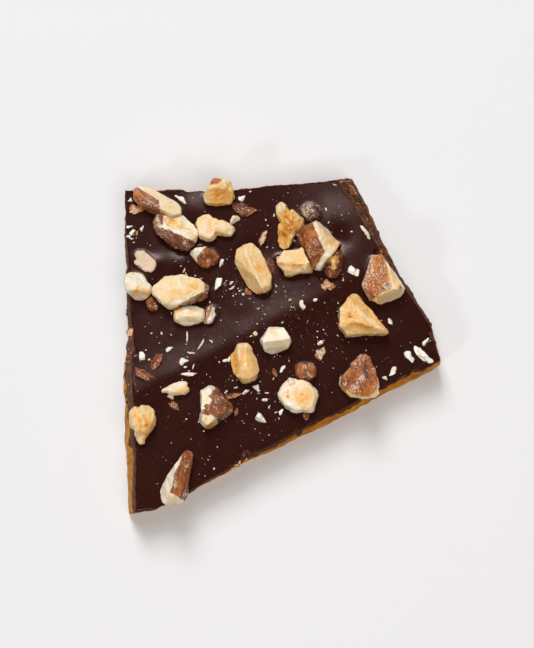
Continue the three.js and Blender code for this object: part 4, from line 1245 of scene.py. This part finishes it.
# Skin flakes: curled scraps of brown almond skin, thin and rough, with nut dust in their hollows.
# Each is where it lies, its length and width, its turn from +X, how it curls, its rust and its frost.
SKIN_FLAKES = [
    (-26.7, -4.4, 2.3, 1.7, 60, 0.5, 0.55, 0.35), (-27.5, -5.8, 2.4, 1.7, 42, 0.5, 0.6, 0.35),
    (-29.8, -8.1, 5.0, 1.9, -33, 0.5, 0.6, 0.4), (-23.2, -14.8, 2.7, 1.3, -38, 0.3, 0.7, 0.45),
    (-10.4, -12.6, 3.2, 1.2, 12, 0.4, 0.45, 0.35), (-9.6, -16.2, 1.7, 0.7, 72, 0.3, 0.5, 0.4),
    (-1.2, -7.5, 2.2, 0.8, -62, 0.3, 0.6, 0.3), (5.6, -17.2, 1.7, 1.3, -30, 0.3, 0.5, 0.3),
    (-8.6, 29.3, 4.2, 2.6, -8, 0.3, 0.9, 0.35), (-7.0, 28.6, 3.4, 1.7, 30, 0.3, 0.6, 0.35),
    (-3.8, 22.7, 3.7, 1.3, 65, 0.6, 0.4, 0.85), (-2.2, 16.4, 4.3, 1.7, -72, 0.2, 0.8, 0.05),
    (4.6, 24.0, 3.6, 2.2, 62, 0.2, 0.8, 0.7), (-32.0, 29.1, 3.0, 2.1, 15, 0.4, 0.1, 0.7),
    (-33.0, 1.5, 1.9, 1.5, 50, 0.3, 0.2, 0.7), (-31.7, 23.8, 1.2, 0.5, 80, 0.3, 0.0, 0.5),
    (8.8, -3.2, 3.0, 2.0, 65, 0.2, 0.6, 0.8), (10.3, 12.0, 2.0, 1.7, 15, 0.5, 0.0, 0.7),
    (11.0, 11.6, 1.9, 1.6, -40, 0.5, 0.0, 0.6), (9.7, 11.5, 1.5, 1.3, 80, 0.5, 0.05, 0.8),
    (-12.2, 12.2, 0.8, 0.6, 0, 0.3, 0.5, 0.2), (-7.1, 10.5, 1.7, 1.2, -30, 0.3, 0.5, 0.4),
]
FLAKE_RINGS, FLAKE_SPOKES = 9, 44
FLAKE_THICK = 0.24
FLAKE_CRAGS = [(1.2, 0.20), (0.5, 0.10)]
FLAKE_TEARS = [(2, 0.10), (3, 0.12), (5, 0.09), (8, 0.06), (13, 0.04)]
FLAKE_SUNK, FLAKE_ROAST = 0.12, 0.4
EDGE_NARROW, EDGE_BRIGHT, EDGE_CLEAN = 4, 0.2, 0.7

spoke = 2 * np.pi * np.arange(FLAKE_SPOKES) / FLAKE_SPOKES
reach = np.repeat(np.arange(1, FLAKE_RINGS + 1) / FLAKE_RINGS, FLAKE_SPOKES)
sheet_reach = np.concatenate([[0], reach])
flake_reach = np.concatenate([sheet_reach, sheet_reach[:-FLAKE_SPOKES]])


def flake_faces():
    """Faces of a flake: an upper and a lower sheet of rings round a middle point, joined at the rim."""
    here = np.arange(FLAKE_SPOKES)
    there = np.roll(here, -1)
    upper = 1 + np.arange(FLAKE_RINGS)[:, None] * FLAKE_SPOKES + here
    lower = upper + 1 + FLAKE_RINGS * FLAKE_SPOKES
    lower[-1] = upper[-1]
    faces = []
    for rings, middle, flip in [(upper, 0, False), (lower, 1 + FLAKE_RINGS * FLAKE_SPOKES, True)]:
        fan = [[middle, rings[0, i], rings[0, k]] for i, k in zip(here, there)]
        fan += [
            [inner[i], outer[i], outer[k], inner[k]]
            for inner, outer in zip(rings, rings[1:]) for i, k in zip(here, there)
        ]
        faces += [face[::-1] if flip else face for face in fan]
    return faces


def flake(rng, length, width, turn, curl):
    """A ragged scrap of skin: a leaf with a torn outline, curled across its width."""
    torn = sum(share * np.cos(waves * spoke + rng.uniform(0, 2 * np.pi)) for waves, share in FLAKE_TEARS)
    outline = (1 + torn) * np.stack([np.cos(spoke) * length, np.sin(spoke) * width]) / 2
    plan = np.vstack([np.zeros(2), reach[:, None] * np.tile(outline.T, (FLAKE_RINGS, 1))])
    spot = np.column_stack([plan, np.zeros(len(plan))]) + rng.uniform(0, NOISE_SPAN, 3)
    rise = curl * width * (2 * plan[:, 1] / width) ** 2 / 2 + crags(spot, FLAKE_CRAGS, seed=420)
    top = np.column_stack([plan, rise])
    thick = FLAKE_THICK * np.sqrt(1 - sheet_reach[:-FLAKE_SPOKES] ** 2)
    under = top[:-FLAKE_SPOKES] - np.outer(thick, [0, 0, 1])
    return turned(np.vstack([top, under]), turn)


flakes = []
scrap = flake_faces()
edge = flake_reach ** EDGE_NARROW
for x, y, length, width, turn, curl, rust, frost in SKIN_FLAKES:
    corners = flake(rng, length, width, turn, curl)
    look = (1, FLAKE_ROAST, rust - EDGE_BRIGHT * edge, frost * (1 - EDGE_CLEAN * edge), 0)
    flakes.append((corners, scrap, (x, y), FLAKE_SUNK, look))
strew("skin_flakes", flakes, chip_finish)

# Dust: the finest crumbs of almond, sprinkled over the whole sheet and thickest where the chopping board
# was tipped out. Each drift is where it lies, how far it spreads and how many crumbs it holds.
DRIFTS = [
    ((-2.0, 6.0), 9.0, 245), ((-18.0, 0.0), 10.0, 230), ((8.0, 2.0), 9.0, 180), ((20.0, 0.0), 9.0, 130),
    ((-20.0, -18.0), 10.0, 145), ((-2.0, -18.0), 10.0, 145), ((0.0, 26.0), 10.0, 160),
    ((-28.0, 22.0), 8.0, 80), ((12.0, 24.0), 9.0, 130), ((-11.0, 11.5), 2.4, 65), ((-26.0, -34.0), 7.0, 50),
    ((-20.5, 14.5), 2.0, 25), ((-32.8, 24.0), 1.2, 25), ((-12.5, -31.0), 1.6, 15), ((-6.0, -11.5), 2.2, 25),
]
DUST_SMALLEST, DUST_LARGEST = 0.06, 0.5
DUST_RARITY = 5.0
DUST_CORNERS, DUST_LONGEST, DUST_LOW = 7, 2.2, 0.8
DUST_ROAST, DUST_PALE = 0.16, 3
# Dust: how deep it sinks, and an even share of the painted edge highlight.
DUST_SUNK, DUST_EDGE_SHADING = 0.2, 0.3
RIM_CLEAR, NUT_CLEAR = 0.6, 0.15

rim = slab_points(ring_u, ring_v, 0.0)


def hull(points):
    """The smallest convex solid round some points: its points and faces."""
    form = bmesh.new()
    for point in points:
        form.verts.new(point)
    bmesh.ops.convex_hull(form, input=form.verts)
    bmesh.ops.delete(form, geom=[vertex for vertex in form.verts if not vertex.link_faces], context="VERTS")
    form.verts.index_update()
    kept = [tuple(vertex.co) for vertex in form.verts]
    faces = [[vertex.index for vertex in face.verts] for face in form.faces]
    form.free()
    return np.array(kept), faces


def on_slab(x, y):
    """Whether a point lies inside the rim, clear of its edge."""
    reach = rim - np.array([x, y])
    turn = np.arctan2(reach[:, 1], reach[:, 0])
    swept = np.diff(np.append(turn, turn[0]))
    inside = abs(np.sum((swept + math.pi) % (2 * math.pi) - math.pi)) > math.pi
    return inside and np.min(np.linalg.norm(reach, axis=1)) > RIM_CLEAR


dust = []
for (x, y), spread, number in DRIFTS:
    for _ in range(number):
        at = (x + rng.normal(0, spread), y + rng.normal(0, spread))
        size = mix(DUST_SMALLEST, DUST_LARGEST, rng.random() ** DUST_RARITY)
        corners = rng.uniform(-0.5, 0.5, (DUST_CORNERS, 3))
        grit = corners * np.array([size * rng.uniform(1, DUST_LONGEST), size, size * DUST_LOW])
        grit = turned(grit, rng.uniform(0, 180))
        roast = DUST_ROAST * rng.random() ** DUST_PALE
        if on_slab(*at) and nut_distance([(*at, surface_height(*at))])[0] > NUT_CLEAR:
            dust.append((*hull(grit), at, DUST_SUNK * size, (0, roast, 0, 0, DUST_EDGE_SHADING)))
nut_dust = strew("nut_dust", dust, chip_finish)
nut_dust.data.polygons.foreach_set("use_smooth", np.zeros(len(nut_dust.data.polygons), bool))

# Table: a plain white sheet under soft daylight from a wide window behind and to the left of the shard and
# from the ceiling, with a small lamp and a pale card in front that fill the shadows. The camera looks down
# on the shard from the front.
TABLE_SIZE = 1.6
TABLE_WHITE = (0.78, 0.793, 0.817)
TARGET = (-2.9, 3.4, 8.0)
CAMERA_BEARING = 270
CAMERA_ELEVATION = 80.0
CAMERA_DISTANCE = 560.0
VIEW_HEIGHT = 142.56
SENSOR = 36.0

table_finish, tree, shader = start_material("white_table")
shader.inputs["Base Color"].default_value = (*TABLE_WHITE, 1)
shader.inputs["Roughness"].default_value = 0.9
shader.inputs["Specular IOR Level"].default_value = 0.1
half = TABLE_SIZE / 2
table_corners = [(-half, -half, 0), (half, -half, 0), (half, half, 0), (-half, half, 0)]
sheet = bpy.data.meshes.new("table")
sheet.from_pydata(table_corners, [], [(0, 1, 2, 3)])
sheet.materials.append(table_finish)
table = bpy.data.objects.new("table", sheet)
bpy.context.scene.collection.objects.link(table)
table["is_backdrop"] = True


def add_softbox(name, bearing, elevation, distance, sides, watts, colour=(1.0, 1.0, 1.0), mirrored=True):
    """A rectangular light that faces the shard, from a bearing and an elevation. Gloss may mirror it."""
    lamp = bpy.data.lights.new(name, "AREA")
    lamp.shape = "RECTANGLE"
    lamp.size, lamp.size_y = sides
    lamp.energy = watts
    lamp.color = colour
    light = bpy.data.objects.new(name, lamp)
    light.location = facing(bearing, elevation) * distance
    light.rotation_euler = (-light.location).to_track_quat("-Z", "Y").to_euler()
    light.visible_glossy = mirrored
    bpy.context.scene.collection.objects.link(light)


add_softbox("window", bearing=104, elevation=49, distance=1.3, sides=(0.47, 0.60), watts=11.2)
add_softbox("ceiling", bearing=100, elevation=70, distance=1.2, sides=(0.45, 0.45), watts=2.4,
            mirrored=False)
add_softbox("lamp", bearing=225, elevation=39, distance=1.0, sides=(0.13, 0.13), watts=1.25)
add_softbox("card", bearing=294, elevation=66, distance=0.80, sides=(0.60, 0.50), watts=2.9,
            colour=(1.0, 0.91, 0.82), mirrored=False)

world = bpy.data.worlds.new("room")
world.use_nodes = True
world.node_tree.nodes["Background"].inputs["Color"].default_value = (1.0, 1.0, 1.0, 1)
world.node_tree.nodes["Background"].inputs["Strength"].default_value = 0.05
bpy.context.scene.world = world
bpy.context.scene.view_settings.view_transform = "Standard"

lens = bpy.data.cameras.new("camera")
lens.sensor_width = SENSOR
lens.lens = SENSOR * CAMERA_DISTANCE / VIEW_HEIGHT
camera = bpy.data.objects.new("camera", lens)
aim = facing(CAMERA_BEARING, CAMERA_ELEVATION)
camera.location = Vector((np.array(TARGET) + aim * CAMERA_DISTANCE) * MM)
camera.rotation_euler = Vector(-aim).to_track_quat("-Z", "Y").to_euler()
bpy.context.scene.collection.objects.link(camera)
bpy.context.scene.camera = camera

size = {"cad": [list(map(float, corner)) for corner in cad_box],
        "visual": [list(map(float, corner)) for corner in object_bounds()]}
